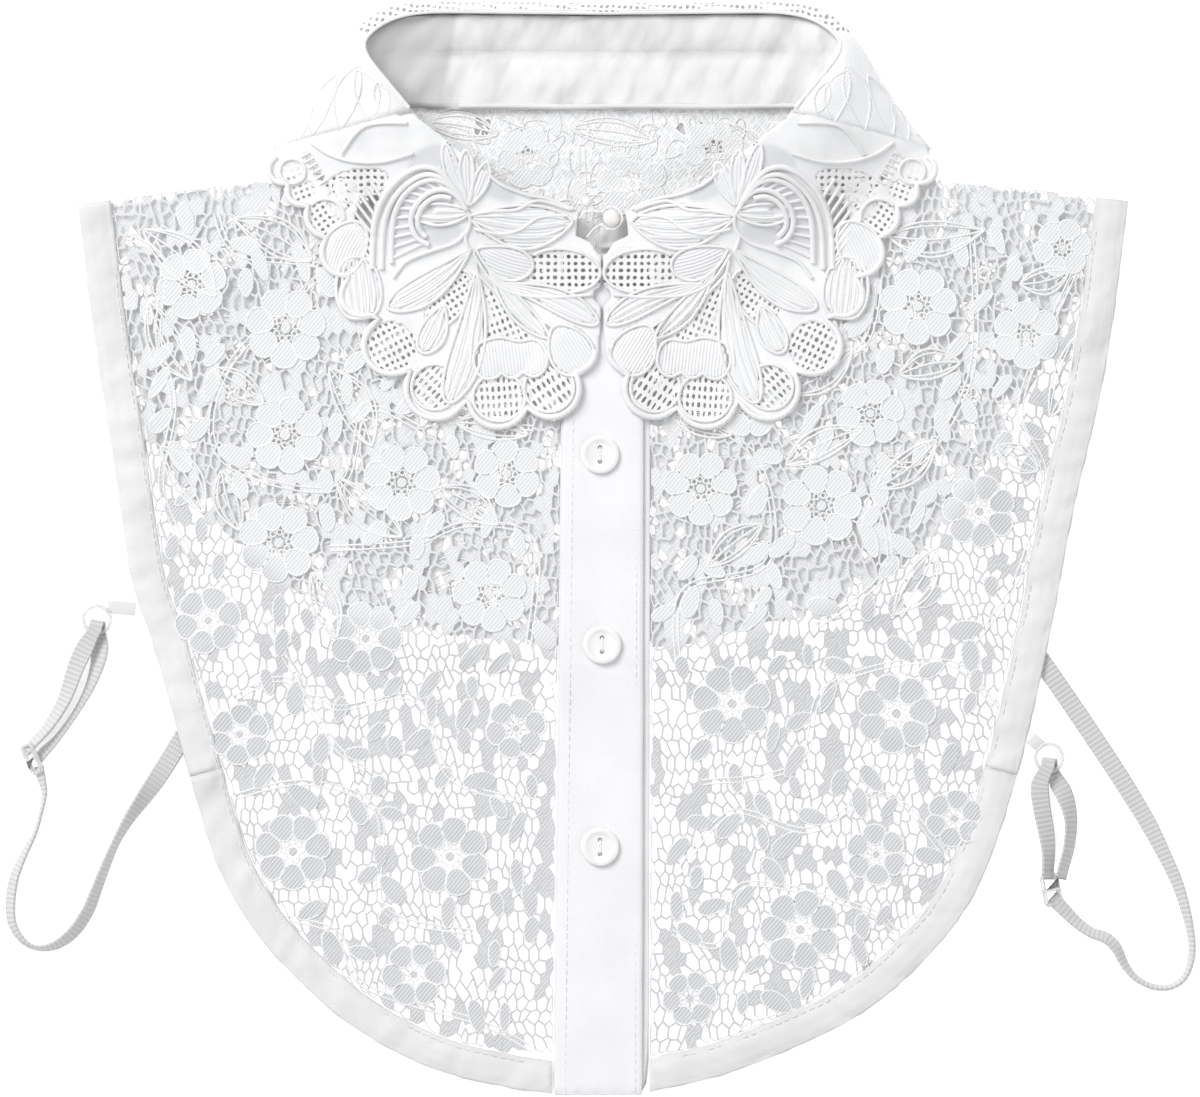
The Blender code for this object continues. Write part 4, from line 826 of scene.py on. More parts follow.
def strewn(outline, taken, count, seed):
    """Single leaves at seeded places that keep clear of the flowers."""
    pick = random.Random(seed)
    low, high = outline.min(axis=0), outline.max(axis=0)
    leaves = []
    tries = 0
    while len(leaves) < count and tries < STRAY_TRIES:
        tries += 1
        x, y = pick.uniform(low[0], high[0]), pick.uniform(low[1], high[1])
        spot = np.array([[x, y]])
        if not inside(outline, spot)[0] or nearest(outline, spot)[0][0] < STRAY_FROM_EDGE:
            continue
        if any(math.hypot(x - tx, y - ty) < reach + STRAY_APART for tx, ty, reach in taken):
            continue
        taken.append((x, y, LEAF_REACH))
        leaves.append(egg(x, y, pick.uniform(*STRAY_LONG), pick.uniform(*STRAY_WIDE),
                          pick.uniform(*STRAY_TURN), 0.12, 14))
    return leaves


# %% Fronts
DOUBLING_EASE = 6.0       # the fronts' tone changes over this distance at the back's edge
NET_SINK = 0.5            # the net starts this far inside the solids' upper side
FRONT_WORKED = 0.22       # noise above this works a cell solid
LEAF_APART = 4.5
PETAL_THREAD = 0.38       # half widths of the outline threads
EYELET_THREAD = 0.33
STEM_THREAD = 0.34
LEAF_THREAD = 0.32
FROND_THREAD = 0.42
CURL_THREAD = 0.27


def runs_inside(outline, path):
    """The stretches of a path that lie in an outline."""
    runs, run = [], []
    for point, good in list(zip(path, inside(outline, path))) + [(None, False)]:
        if good:
            run.append(point)
        else:
            if len(run) > 3:
                runs.append(run)
            run = []
    return runs


back_outline = plan_outline("back_panel")


def doubling(points):
    """How far the back lies under places of the fronts, from 0 to 1 across its edge."""
    depth = nearest(back_outline, points)[0] * np.where(inside(back_outline, points), 1.0, -1.0)
    return np.clip(0.5 + depth / DOUBLING_EASE, 0.0, 1.0)


def lace_layer(name, nodes, outline, flowers, stems, fronds, seed, strays=STRAY_LEAVES, sides=1,
               veils=(), thread=net_thread, wide=NET_WIDE, tall=NET_TALL, curls=(),
               worked=lambda x, y: FRONT_WORKED):
    """One layer of lace: net, petals and outline threads."""
    tree = surface(*nodes)
    bare = [(x, y, radius * 0.88) for x, y, radius, _, _ in flowers]
    net = lace_net(outline, tree, seed, bare, wide, tall, NET_SINK, worked)
    lines = []
    taken = []
    top = NET_THICK - NET_SINK

    def petal(k, ring, radius, lift):
        """A hatched petal in its outline thread. Petals side by side lie at three heights."""
        lay_patch(net, ring, tree, top - 0.25 + 0.05 * (k % 3))
        lines.append((lie_on(tree, ring, radius, top + lift), True))

    def line(path, radius, lift=0.0):
        """Outline thread along what lies in the outline of a path."""
        for run in runs_inside(outline, path):
            lines.append((lie_on(tree, run, radius, top + lift), False))

    for x, y, radius, turn, petals in flowers:
        rings, eyelets, middle = flower(x, y, radius, turn, petals)
        for k, ring in enumerate(rings):
            petal(k, ring, PETAL_THREAD, 0.15)
        for ring in eyelets:
            lines.append((lie_on(tree, ring, EYELET_THREAD, top), True))
        lay_patch(net, middle, tree, top - 0.15)
        taken.append((x, y, radius))
    leaves = strewn(outline, taken, strays, seed)
    for stem in stems:
        path = smooth_path(stem, 2.5)
        for off in (-0.8, 0.8):
            line(offset(path, off, closed=False), STEM_THREAD)
        for ring in sprays(stem):
            mx, my = np.mean(ring, axis=0)
            if all(math.hypot(mx - x, my - y) > reach + LEAF_APART for x, y, reach in taken):
                taken.append((mx, my, LEAF_REACH))
                leaves.append(ring)
    for k, ring in enumerate(leaves):
        if inside(outline, np.array(ring)).all():
            petal(k, ring, LEAF_THREAD, 0.1)
    for row in fronds:
        ring, vein = leaf_outline(row)
        inner = leaf_outline((*row[:4], row[4] - 2 * FROND_LINES, *row[5:]))[0]
        line(np.vstack([ring, ring[:1]]), FROND_THREAD, 0.2)
        line(inner, STEM_THREAD, 0.2)
        line(vein, STEM_THREAD, 0.2)
    for ring in curls:
        line(np.array(ring), CURL_THREAD, 0.25)
    for x, y, long, wide, turn in veils:
        lay_patch(net, egg(x, y, long, wide, turn, 0.1, 26), tree, top - 0.45)
    doubled = net.verts.layers.float.new("doubled")
    shares = doubling(np.array([v.co[:2] for v in net.verts]))
    for vertex, share in zip(net.verts, shares):
        vertex[doubled] = share
    cloth = piece(name, net, [thread, hatched], "lace", nodes, smooth=False)
    thicken(cloth, NET_THICK, 1.0)
    outlines = cords(name + "_outlines", lines, outline_thread, "lace", sides)
    return cloth, outlines


def polygon_area(outline):
    x, y = outline[:, 0], outline[:, 1]
    return 0.5 * abs(float(np.dot(x, np.roll(y, -1)) - np.dot(y, np.roll(x, -1)))) * MM * MM


def declare(cloth, outline):
    """Works out a laid sheet's sizes and area from its outline in plan, which is its cut, and keeps
    none of them.
    """
    wide, long = np.ptp(outline, axis=0) * MM
    polygon_area(outline)


def declare_strip(cloth, node_name):
    """Prints the straight cut of a strip that lies flat, from its outline's area and edge."""
    outline = plan_outline(node_name)
    area = polygon_area(outline)
    edge = float(np.hypot(*(outline - np.roll(outline, 1, axis=0)).T).sum()) * MM
    long = (edge / 2 + math.sqrt(max(edge ** 2 / 4 - 4 * area, 0.0))) / 2
    declare_cut(cloth, area, long)


def declare_wall(cloth, node_name):
    """Prints the cut of a band that stands up, from its solid's area, half of both sides, and its
    length.
    """
    area = sum(face.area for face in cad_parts[node_name].data.polygons) / 2
    low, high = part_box(node_name)
    declare_cut(cloth, area, math.hypot(high.x - low.x, high.y - low.y))


def declare_cut(cloth, area, long):
    print(cloth.name, "cut", round(area / long / MM, 1), "x", round(long / MM, 1), "mm")


front_outlines = {side: plan_outline("front_" + side) for side in ("left", "right")}
for seed, side in enumerate(("left", "right"), 3):
    cloth, outlines = lace_layer("lace_front_" + side, ["front_" + side], front_outlines[side],
                                 FRONT_FLOWERS[side], FRONT_STEMS[side], FRONDS[side], seed)
    declare(cloth, front_outlines[side])

# %% [markdown]
# ## Lace back
# The back is lace too. It shows at the neck, and as a second layer through the fronts' net, so its
# flowers are fewer. Its cells are smaller and mostly worked solid, with curls of thread at the neck.

# %% Back
BACK_FLOWERS = [
    # x, y, radius, turn, petals
    (10.7, 121.5, 11, 20, 7), (-24, 130, 9.5, 8, 6), (38, 133, 9, 14, 6),
    (-126, 98, 12, 4, 7), (-120, 52, 12, 22, 7), (-74, 4, 12, 9, 7),
    (-40, 12, 11.5, 17, 7), (52, 0, 12, 6, 7), (96, 28, 12, 27, 7),
    (128, 92, 12, 12, 7), (124, 52, 10.5, 3, 6), (-84, 52, 11, 30, 6),
    (64, 60, 11, 11, 6),
]
BACK_STEMS = [
    # x, y of each point
    [(-44, 138), (-30, 116), (-8, 112), (-6, 134)],
    [(60, 138), (30, 118), (26, 112)],
    [(-150, 104), (-140, 60), (-104, 30), (-60, 24)],
    [(150, 104), (112, 74), (80, 44), (40, 30)],
]
BACK_VEILS = [
    # x, y, length, width, turn: large smooth patches that show grey through the fronts
    (-143, 94, 44, 13, 96), (-111, 98, 26, 13, 62),
    (-126, 72, 22, 10, 70), (120, 101, 32, 13, 70),
    (146, 92, 26, 11, 100), (104, 88, 20, 10, 40),
]
BACK_STRAYS = 60
BACK_CELL = (2.9, 3.6)
NECK_CURLS = 150
NECK_ACROSS = (-62.0, 64.0)        # where the curls of thread lie
NECK_UP = (106.0, 146.0)

pick = random.Random(5)
neck_curls = []
for _ in range(NECK_CURLS):
    curl = egg(pick.uniform(*NECK_ACROSS), pick.uniform(*NECK_UP), pick.uniform(4.5, 11.0),
               pick.uniform(2.2, 5.0), pick.uniform(0.0, 360.0), 0.3, 14)
    neck_curls.append(curl[:pick.randint(7, 14)])


def back_worked(x, y):
    """The back is worked solid in most places, and nearly everywhere at the neck."""
    return -0.42 if y > NECK_LACE_AT - 6.0 and abs(x) < 72.0 else -0.16


cloth, outlines = lace_layer("lace_back", ["back_panel"], back_outline, BACK_FLOWERS, BACK_STEMS,
                             FRONDS["back"], 11, BACK_STRAYS, 0, BACK_VEILS, back_thread,
                             *BACK_CELL, neck_curls, back_worked)
declare(cloth, back_outline)

# %% [markdown]
# ## Creased cotton
# The bindings, placket and stand are plain cotton lawn. Each keeps its solid's closed form: a copy
# of the solid is merged, cut finer, and moved up and down by slow noise, which gives the soft
# uneven puckers of sewn cotton. The edges hardly move, so the seams still meet.

# %% Cotton helper
def crease_noise(x, y, long, short, turn, seed):
    """Soft noise stretched along a direction."""
    c, s = math.cos(math.radians(turn)), math.sin(math.radians(turn))
    return noise.noise(Vector(((x * c + y * s) / long, (y * c - x * s) / short, seed)))


def pull(shape, lift, whole=False):
    """Moves the upper side of a shape, or the whole wall, outwards by a function of each place."""
    shape.normal_update()
    moves = []
    for vertex in shape.verts:
        way = vertex.normal.copy()
        if way.z < 0:
            way = -way if whole else way * 0.0
        moves.append(way * abs(way.z) ** 0.5 * lift(vertex.co))
    for vertex, move in zip(shape.verts, moves):
        vertex.co += move


# %% Bindings
SEAM_IN = 1.7             # from the lace's edge out to the row of stitches


def binding(side, part, node_name):
    """A cotton binding with puckers across it, drawn in along its stitches."""
    shape = finer_copy(node_name, 2)
    turn = {"side": 6.0, "hem": 50.0}[part] * (1 if side == "left" else -1)
    spots = np.array([v.co[:2] for v in shape.verts])
    away = nearest(front_outlines[side], spots)[0]
    from_edge = {tuple(spot): far for spot, far in zip(np.round(spots, 3).tolist(), away)}

    def lift(place):
        far = from_edge[(round(place.x, 3), round(place.y, 3))]
        soft = crease_noise(place.x, place.y, 22.0, 7.0, turn, 2.0)
        small = crease_noise(place.x, place.y, 9.0, 3.6, turn + 25.0, 9.0)
        drawn = -0.35 * math.exp(-((far - SEAM_IN) / 0.7) ** 2) + 0.2 * math.exp(-(far / 0.6) ** 2)
        return 0.85 * soft + 0.4 * small + drawn

    pull(shape, lift)
    made = piece("cotton_" + node_name, shape, [cotton], "cotton", [node_name])
    declare_strip(made, node_name)


for side in ("left", "right"):
    for part in ("side", "hem"):
        binding(side, part, f"binding_{side}_{part}")

# %% Topstitching
STITCH_LONG = 2.2
STITCH_GAP = 0.7
STITCH_STEP = 0.5
STITCH_CORD = 0.17


def stitch_run(path, tree, lift):
    """Short cords one after another along a path, sunk a little at both ends."""
    even = smooth_path(path, STITCH_STEP)
    per = round((STITCH_LONG + STITCH_GAP) / STITCH_STEP)
    long = round(STITCH_LONG / STITCH_STEP)
    runs = []
    for first in range(0, len(even) - per, per):
        bit = even[first:first + long + 1:2]
        points = []
        for i, (x, y) in enumerate(bit):
            sunk = 0.15 if i in (0, len(bit) - 1) else 0.0
            points.append((x, y, height_on(tree, x, y) + lift - sunk, STITCH_CORD))
        runs.append((points, False))
    return runs


def signed_area(path):
    x, y = path[:, 0], path[:, 1]
    return float(np.dot(x, np.roll(y, -1)) - np.dot(y, np.roll(x, -1)))


stitches = []
for side in ("left", "right"):
    outline = front_outlines[side]
    outward = -1.0 if signed_area(outline) > 0 else 1.0
    tree = surface(f"binding_{side}_side", f"binding_{side}_hem")
    rim = offset(outline, outward * SEAM_IN)
    hit = [tree.ray_cast(Vector((x, y, 60.0)), Vector((0, 0, -1)))[0] is not None for x, y in rim]
    start = next(i for i in range(len(rim)) if hit[i] and not hit[i - 1])
    order = [(start + k) % len(rim) for k in range(len(rim))]
    run = [tuple(rim[i]) for i in order if hit[i]]
    stitches += stitch_run(run, tree, 0.1)
cords("binding_stitches", stitches, outline_thread, "cotton", 0)

# %% [markdown]
# ## Placket
# The placket is a folded cotton strip over its under strip, with a row of stitches along each
# side. It puckers a little round the buttonholes.

# %% Placket
def placket(node_name, amount):
    shape = finer_copy(node_name, 2)

    def lift(place):
        near = min(math.hypot(place.x - bx, place.y - by) for bx, by in BUTTON_PLACES)
        drag = 0.4 * math.exp(-(near / 13.0) ** 2) * math.sin(place.y * 0.9 + place.x * 0.3)
        soft = crease_noise(place.x, place.y, 40.0, 14.0, 80.0, 5.0)
        small = crease_noise(place.x, place.y, 14.0, 7.0, 20.0, 3.0)
        return amount * (0.6 * soft + 0.25 * small + drag)

    pull(shape, lift)
    made = piece("cotton_" + node_name, shape, [placket_cotton], "cotton", [node_name])
    soft = made.modifiers.new("soft", "SUBSURF")
    soft.levels = soft.render_levels = 1
    declare_strip(made, node_name)


BUTTON_PLACES = [plan_middle(f"button_{number}") for number in (1, 2, 3)]
FOLD_INSET = 4.0          # from the placket's left fold to its stitches
FOLD_LEAN = 3.4           # the fold stands this much further right at the top
RIGHT_INSET = 2.4
STITCHES_END = 60.0       # the guipure covers the placket above this

placket("placket_top", 1.0)
placket("placket_under", 0.3)
placket_tree = surface("placket_top")
low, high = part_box("placket_top")
levels = np.linspace(low.y / MM + 1.0, STITCHES_END, 30)
left_line = [(low.x / MM + FOLD_LEAN * (y - low.y / MM) / (high.y / MM - low.y / MM) + FOLD_INSET, y)
             for y in levels]
right_line = [(high.x / MM - RIGHT_INSET - 0.4 * (STITCHES_END - y) / 240.0, y) for y in levels]
rows = stitch_run(left_line, placket_tree, 0.12) + stitch_run(right_line, placket_tree, 0.12)
cords("placket_stitches", rows, outline_thread, "cotton", 0)

# %% [markdown]
# ## Neck stand
# The stand is a stiffened cotton band. Pressed flat, it has creased along its middle and in soft
# slanting folds. Its lower edge is a piped seam that catches the light.

# %% Stand
CREASE_AT = 164.3         # the fold along the back wall
CREASE_WIDE = 1.1
CREASE_DEEP = 1.3
PIPING_AT = 147.2
PIPING_CORD = 0.85


def stand(node_name):
    shape = finer_copy(node_name, 2)

    def lift(place):
        slant = crease_noise(place.x, place.y, 26.0, 7.0, 60.0, 4.0)
        slow = crease_noise(place.x, place.y, 34.0, 16.0, 10.0, 6.0)
        groove = math.exp(-((place.y - CREASE_AT) / CREASE_WIDE) ** 2)
        inner = min(max((62.0 - abs(place.x - 3.0)) / 8.0, 0.15), 1.0)
        return 1.5 * slant + 1.0 * slow - CREASE_DEEP * groove * inner

    pull(shape, lift, whole=True)
    made = piece("cotton_" + node_name, shape, [stand_cotton], "cotton", [node_name])
    declare_wall(made, node_name)


for node_name in ("stand_left", "stand_back", "stand_right"):
    stand(node_name)
stand_tree = surface("stand_back")
piping = [(x, PIPING_AT + 0.15 * math.sin(x * 0.13)) for x in np.arange(-47.0, 66.0, 1.5)]
cords("stand_piping", [(lie_on(stand_tree, piping, PIPING_CORD, 0.45), False)], cotton, "cotton", 2)

# %% [markdown]
# ## Guipure collar
# Guipure has no net: petals, bars and ladders are joined straight to each other. The front fall is
# one sheet of fine cells, which rises under the satin petals. Openwork places are cut out of it
# and filled with square mesh or with rungs, and padded cords run round every shape. The left half
# is charted in the garment's own millimetres, and the right half is its mirror image.

# %% Chart of the guipure
COLLAR_MIDDLE = 0.7
SCALLOPS = [
    # x, y, radius
    (-105.7, 126.3, 5.5), (-99.6, 119, 5.5), (-90.7, 111, 8), (-85, 98.5, 8.5),
    (-79.2, 84.3, 7.8), (-69.3, 67.5, 10.3), (-54.5, 53.3, 11), (-34, 50.3, 10.8),
    (-16.5, 53.3, 10.5), (-8.3, 65.8, 7.7),
]
SCALLOP_START = (-108.3, 131.2)
SCALLOP_END = (-0.3, 66.0)
LAP_OVER = 0.9            # the front lace reaches this far over the seam to the back's
SATIN_PETALS = [
    # base x, base y, tip x, tip y, width, fattest at, bend, bluntness, ridges
    (-43, 99.5, -70.5, 80, 9.6, 0.64, 2, 0.55, 2),
    (-52.2, 80.8, -59.2, 65.2, 8.6, 0.60, 0.6, 0.50, 2),
    (-41, 92, -50.5, 48.5, 11, 0.64, 2.5, 0.50, 3),
    (-37, 93, -17, 70, 6.5, 0.60, -1.5, 0.70, 2),
    (-33, 88, -0.6, 75, 8, 0.66, 2, 0.55, 3),
    (-41, 99.5, -22.5, 93, 11, 0.62, -1, 0.50, 0),
    (-43.4, 110, -9.2, 108.6, 14.5, 0.55, -2.5, 0.70, 3),
    (-43.8, 111.4, -62, 111.6, 7, 0.55, 0.6, 0.45, 2),
    (-44.2, 114, -51.5, 134, 4.6, 0.60, 0.8, 0.55, 0),
    (-43.8, 114, -44.5, 132, 4.6, 0.60, 0, 0.55, 0),
    (-43.4, 114, -37.4, 128, 4.6, 0.60, -0.6, 0.55, 0),
    (-81.5, 97, -79.4, 76.6, 15, 0.55, 0, 0.30, 6),
    (-80, 108.5, -88, 91.5, 14, 0.55, -1, 0.40, 0),
    (-15, 74, -5.6, 58.8, 14.5, 0.60, 0, 0.40, 0),
]
WAVY_PETAL = [
    # x, y round the fan's broad petal, whose end has three waves
    (-40.6, 68), (-42, 64), (-41.6, 60.2), (-39.8, 57.4), (-37, 56.4), (-34.2, 57.2),
    (-32.8, 58.4), (-30.6, 57), (-27.8, 57), (-25.6, 58.6), (-22.6, 57.2), (-19.6, 58.2),
    (-17.6, 62), (-18.6, 67), (-22, 69.6), (-27, 69), (-33, 70.2), (-37.5, 69.4),
]
WAVY_MIDDLE = [(-30.5, 70.0), (-29.0, 57.0)]
WAVY_WIDE = 12.0
FAN = [
    # x, y round the openwork above the broad petal
    (-41.2, 92), (-36, 86.5), (-28, 79), (-20, 71.5), (-18.2, 67), (-23, 68),
    (-29, 67.4), (-35, 68.6), (-40.6, 67), (-41.6, 76), (-41.6, 84),
]
FAN_MESH = (22.0, 1.9, 2.5)     # its mesh's turn and cell
MESH_OVALS = [
    # x, y, length, width, turn, mesh turn, cell across, cell along
    (-102.4, 125.6, 8.6, 8.2, 0, 20, 2, 2),
    (-99.2, 118.9, 8, 7.6, 0, 20, 2, 2),
    (-91.4, 110.5, 12.4, 11.8, 0, 35, 2, 2),
    (-80.5, 122, 21, 8, 8, 0, 2.3, 2.3),
    (-86, 116.5, 11, 8, 55, 25, 2.1, 2.1),
    (-69.6, 67.2, 16, 16.2, 0, 28, 2, 2.5),
    (-55, 53.8, 15.6, 15.2, 0, -42, 1.8, 3),
    (-33.6, 50.4, 17.6, 16, 0, 4, 1.9, 2.8),
    (-17, 53.5, 16.6, 16, 0, 33, 1.9, 3.6),
    (-12.6, 92.4, 25.5, 14.5, -4, 0, 2.3, 2.3),
    (-50.4, 83, 22, 11.5, 56, 32, 1.9, 2.2),
    (-16.5, 70.5, 15, 5.5, -45, 42, 1.8, 3),
]
TULLE_OVALS = [
    # x, y, length, width, turn
    (-52.6, 104.6, 14.5, 7, 12), (-57, 129, 15, 8, 30),
    (-34, 118.6, 13, 5.5, -24), (-50.5, 116.8, 9, 3.4, 0),
]
ARCH_CORDS = [
    # x, y of each point, from the outside in
    [(-76, 93), (-75.5, 105), (-74.3, 111), (-71, 118), (-65, 124), (-58.5, 126.5),
     (-52.5, 124.5), (-47.5, 118), (-45.3, 114.5)],
    [(-72.8, 93), (-72.4, 104), (-71, 111), (-67.9, 117), (-62.5, 122), (-57, 124),
     (-51.5, 122), (-46.7, 116)],
    [(-69.5, 95), (-69.3, 104), (-68.3, 111), (-65.3, 117), (-60.5, 121), (-55, 122.3),
     (-50, 120.3), (-45.7, 115)],
    [(-57, 101), (-61, 103.5), (-62.8, 108.5), (-61.5, 113.5), (-56.8, 118), (-51.5, 119),
     (-47, 116.6), (-44.5, 112.5)],
    [(-57.8, 103.5), (-60.4, 107), (-60, 111.5), (-57.5, 115), (-53.5, 116.8), (-49.5, 116.2)],
]
LADDER_RUNGS = 14
BRANCHES = [
    # x, y of each point
    [(-43.6, 99.5), (-44.8, 103.5), (-43.2, 107.5), (-43.4, 111.5)],
    [(-69, 90), (-64.5, 95.5), (-56, 99), (-48.5, 101.5), (-44, 105.5)],
    [(-37.8, 125), (-33, 120.8), (-25, 117.6), (-17, 116), (-9, 112.8)],
    [(-42, 98), (-36, 89), (-27, 84.5), (-14, 83.6), (-3, 84.4)],
    [(-41.5, 96), (-40, 84), (-42.4, 72), (-43.2, 61)],
    [(-43.6, 110.4), (-36, 112), (-28, 112.4), (-20.5, 115.5), (-10, 112.6)],
    [(-41.9, 106.2), (-33, 104.4), (-26, 106.2), (-20.3, 109.9), (-10.7, 110.7)],
    [(-96, 135), (-90, 131), (-82, 128.6), (-72, 128.4), (-62, 131)],
    [(-86, 131), (-78, 140), (-64, 141)],
]

# %% Shapes of the guipure
def scallop_edge():
    """Arcs of the scallops, notch to notch."""
    notches = []
    for (ax, ay, ar), (bx, by, br) in zip(SCALLOPS, SCALLOPS[1:]):
        apart = math.hypot(bx - ax, by - ay)
        along = (apart ** 2 + ar ** 2 - br ** 2) / (2 * apart)
        high = math.sqrt(max(ar ** 2 - along ** 2, 0.0))
        ux, uy = (bx - ax) / apart, (by - ay) / apart
        notches.append((ax + ux * along + uy * high, ay + uy * along - ux * high))
    points = []
    ends = notches + [SCALLOP_END]
    for (x, y, radius), start, end in zip(SCALLOPS, [SCALLOP_START] + notches, ends):
        a = math.atan2(start[1] - y, start[0] - x)
        b = math.atan2(end[1] - y, end[0] - x)
        b += 2 * math.pi if b <= a else 0.0
        count = max(4, round((b - a) / math.radians(12.0)))
        for t in np.linspace(a, b, count, endpoint=False):
            points.append((x + radius * math.cos(t), y + radius * math.sin(t)))
    return np.array(points + [SCALLOP_END])


petals = [(*leaf_outline(row), row[4], row[8]) for row in SATIN_PETALS]
petals.append((smooth_path(WAVY_PETAL + WAVY_PETAL[:1], 0.8)[:-1], smooth_path(WAVY_MIDDLE, 2.0),
               WAVY_WIDE, 0))
oval_shapes = [np.array(egg(*row[:5], 0.0, 28)) for row in MESH_OVALS]
oval_shapes.append(smooth_path(FAN + FAN[:1], 1.5)[:-1])
mesh_rows = [row[5:] for row in MESH_OVALS] + [FAN_MESH]
tulle_shapes = [np.array(egg(*row, 0.0, 28)) for row in TULLE_OVALS]
scallops = scallop_edge()
coarse = plan_outline("fall_left")
coarse = coarse if signed_area(coarse) > 0 else coarse[::-1]
near_edge = nearest(scallops, coarse, closed=False)[0] < 1.2
first = next(i for i in range(len(coarse)) if not near_edge[i] and near_edge[i - 1])
rest = np.array([coarse[(first + k) % len(coarse)] for k in range(len(coarse))
                 if not near_edge[(first + k) % len(coarse)]])
lap_ring = plan_outline("fall_back")
lapped = offset(rest, -LAP_OVER, closed=False)
near_back = nearest(lap_ring, rest)[0] < 1.0
rest[near_back] = lapped[near_back]
fall_edge = np.vstack([scallops, rest])
print("fall outline", len(fall_edge), "points, area", round(polygon_area(fall_edge) * 1e4, 1), "cm2")

# %% Ladder of the arch
def between(outer, inner, count):
    """Points at the same shares of two curves."""
    a, b = smooth_path(outer, 0.5), smooth_path(inner, 0.5)
    picks = np.linspace(0.04, 0.96, count)
    return [(a[int(t * (len(a) - 1))], b[int(t * (len(b) - 1))]) for t in picks]


arch = [smooth_path(path, 1.0) for path in ARCH_CORDS]
inner_ladder = between(ARCH_CORDS[2], ARCH_CORDS[3], LADDER_RUNGS)
inner_window = np.vstack([smooth_path(ARCH_CORDS[2], 1.5)[2:-7],
                          smooth_path(ARCH_CORDS[3], 1.5)[2:-6][::-1]])
outer_leg = smooth_path([(-76.5, 97), (-76.4, 105), (-75.4, 112), (-72.0, 119.5)], 1.0)
outer_side = smooth_path([(-80.5, 101), (-81.5, 107), (-80.5, 114), (-76.0, 121.5)], 1.0)
outer_window = np.vstack([outer_leg, outer_side[::-1]])
slit_window = np.array([(-98.6, 131.5), (-97.2, 131.8), (-91.3, 122.4), (-92.6, 121.6)])
windows = oval_shapes + [outer_window, slit_window]
tulle_shapes.append(inner_window)
print(len(windows), "openwork places")

# %% Sheet of the front fall
FALL_CELL = 0.8
FALL_THICK = 1.0
SHEET_THICK = 0.8
SATIN_RISE = 0.75
RIDGE_RISE = 0.22
SHEER_EASE = 1.6          # the tulle's tone sets in over this distance
JOIN_EASE = 7.0           # the front fall comes level with the back one over this distance
JOIN_STEP = 0.4           # and lies this far on top of it at the join
JOIN_ROUNDS = 12          # of smoothing along the join
NECK_CLEAR = 6.0          # the join's inner end is left out

fall_tree = surface("fall_left")
join_tree = surface("fall_back")
join_line = smooth_path(rest[near_back], 0.6)


def back_swell(x, y):
    """How far the back fall's cloth swells off its solid."""
    return 0.6 * crease_noise(x, y, 30.0, 14.0, 50.0, 8.0)


join_levels = np.array([height_on(join_tree, x, y) + back_swell(x, y) for x, y in join_line])
for _ in range(JOIN_ROUNDS):
    join_levels[1:-1] = (join_levels[:-2] + join_levels[1:-1] + join_levels[2:]) / 3
inner_end = int(np.argmax(join_line[:, 0]))
near_neck = np.hypot(*(join_line - join_line[inner_end]).T) < NECK_CLEAR
join_line, join_levels = join_line[~near_neck], join_levels[~near_neck] + JOIN_STEP


def fall_height(x, y):
    """Top of the plain guipure ground, which comes level with the back fall at their join."""
    height = height_on(fall_tree, x, y, upward=True) + FALL_THICK
    away = np.hypot(join_line[:, 0] - x, join_line[:, 1] - y)
    closest = int(np.argmin(away))
    if away[closest] >= JOIN_EASE:
        return height
    share = 0.5 + 0.5 * math.cos(math.pi * away[closest] / JOIN_EASE)
    return height + (join_levels[closest] - height) * share


def grid_over(low, high, cell):
    """An even grid in plan over a box."""
    shape = bmesh.new()
    wide, tall = high[0] - low[0], high[1] - low[1]
    across, up = max(1, round(wide / cell)), max(1, round(tall / cell))
    bmesh.ops.create_grid(shape, x_segments=across, y_segments=up, size=0.5)
    bmesh.ops.scale(shape, vec=(wide, tall, 1.0), verts=shape.verts)
    bmesh.ops.translate(shape, vec=((low[0] + high[0]) / 2, (low[1] + high[1]) / 2, 0.0),
                        verts=shape.verts)
    return shape


ground = grid_over(fall_edge.min(axis=0), fall_edge.max(axis=0), FALL_CELL)
middles = centres(ground)
keep = inside(fall_edge, middles)
petal_cover = np.zeros(len(middles), bool)
for outline, *_ in petals:
    petal_cover |= inside(outline, middles)
opened = np.zeros(len(middles), bool)
for outline in windows:
    opened |= inside(outline, middles)
drop_faces(ground, keep & (petal_cover | ~opened))
bmesh.ops.delete(ground, geom=[v for v in ground.verts if not v.link_faces], context="VERTS")
spots = np.array([v.co[:2] for v in ground.verts])
away, snapped, _ = nearest(fall_edge, spots)
rim = np.array([v.is_boundary for v in ground.verts])
for vertex, on_rim, far, place in zip(ground.verts, rim, away, snapped):
    if on_rim and far < FALL_CELL:
        vertex.co.x, vertex.co.y = place
spots = np.array([v.co[:2] for v in ground.verts])
rise = np.zeros(len(spots))
uv_across = np.zeros(len(spots))
uv_along = np.zeros(len(spots))
for outline, middle, wide, ridges in petals:
    hit = inside(outline, spots)
    edge_away = nearest(outline, spots)[0]
    mid_away, mid_place, along = nearest(middle, spots, closed=False)
    dome = SATIN_RISE * np.clip(edge_away / (wide * 0.22), 0.0, 1.0) ** 0.6
    if ridges:
        dome += RIDGE_RISE * np.cos(2 * math.pi * mid_away * (ridges + 1) / wide)
    higher = hit & (dome > rise)
    rise[higher] = dome[higher]
    way = middle[-1] - middle[0]
    sign = np.sign((spots - mid_place) @ np.array([-way[1], way[0]]))
    uv_across[higher] = (mid_away * sign)[higher]
    uv_along[higher] = along[higher]
plain = rise == 0.0
uv_across[plain] = spots[plain, 1]
uv_along[plain] = spots[plain, 0]
for vertex, up in zip(ground.verts, rise):
    x, y = vertex.co[:2]
    vertex.co.z = fall_height(x, y) - 0.2 + up
uv_layer = ground.loops.layers.uv.new("stitch")
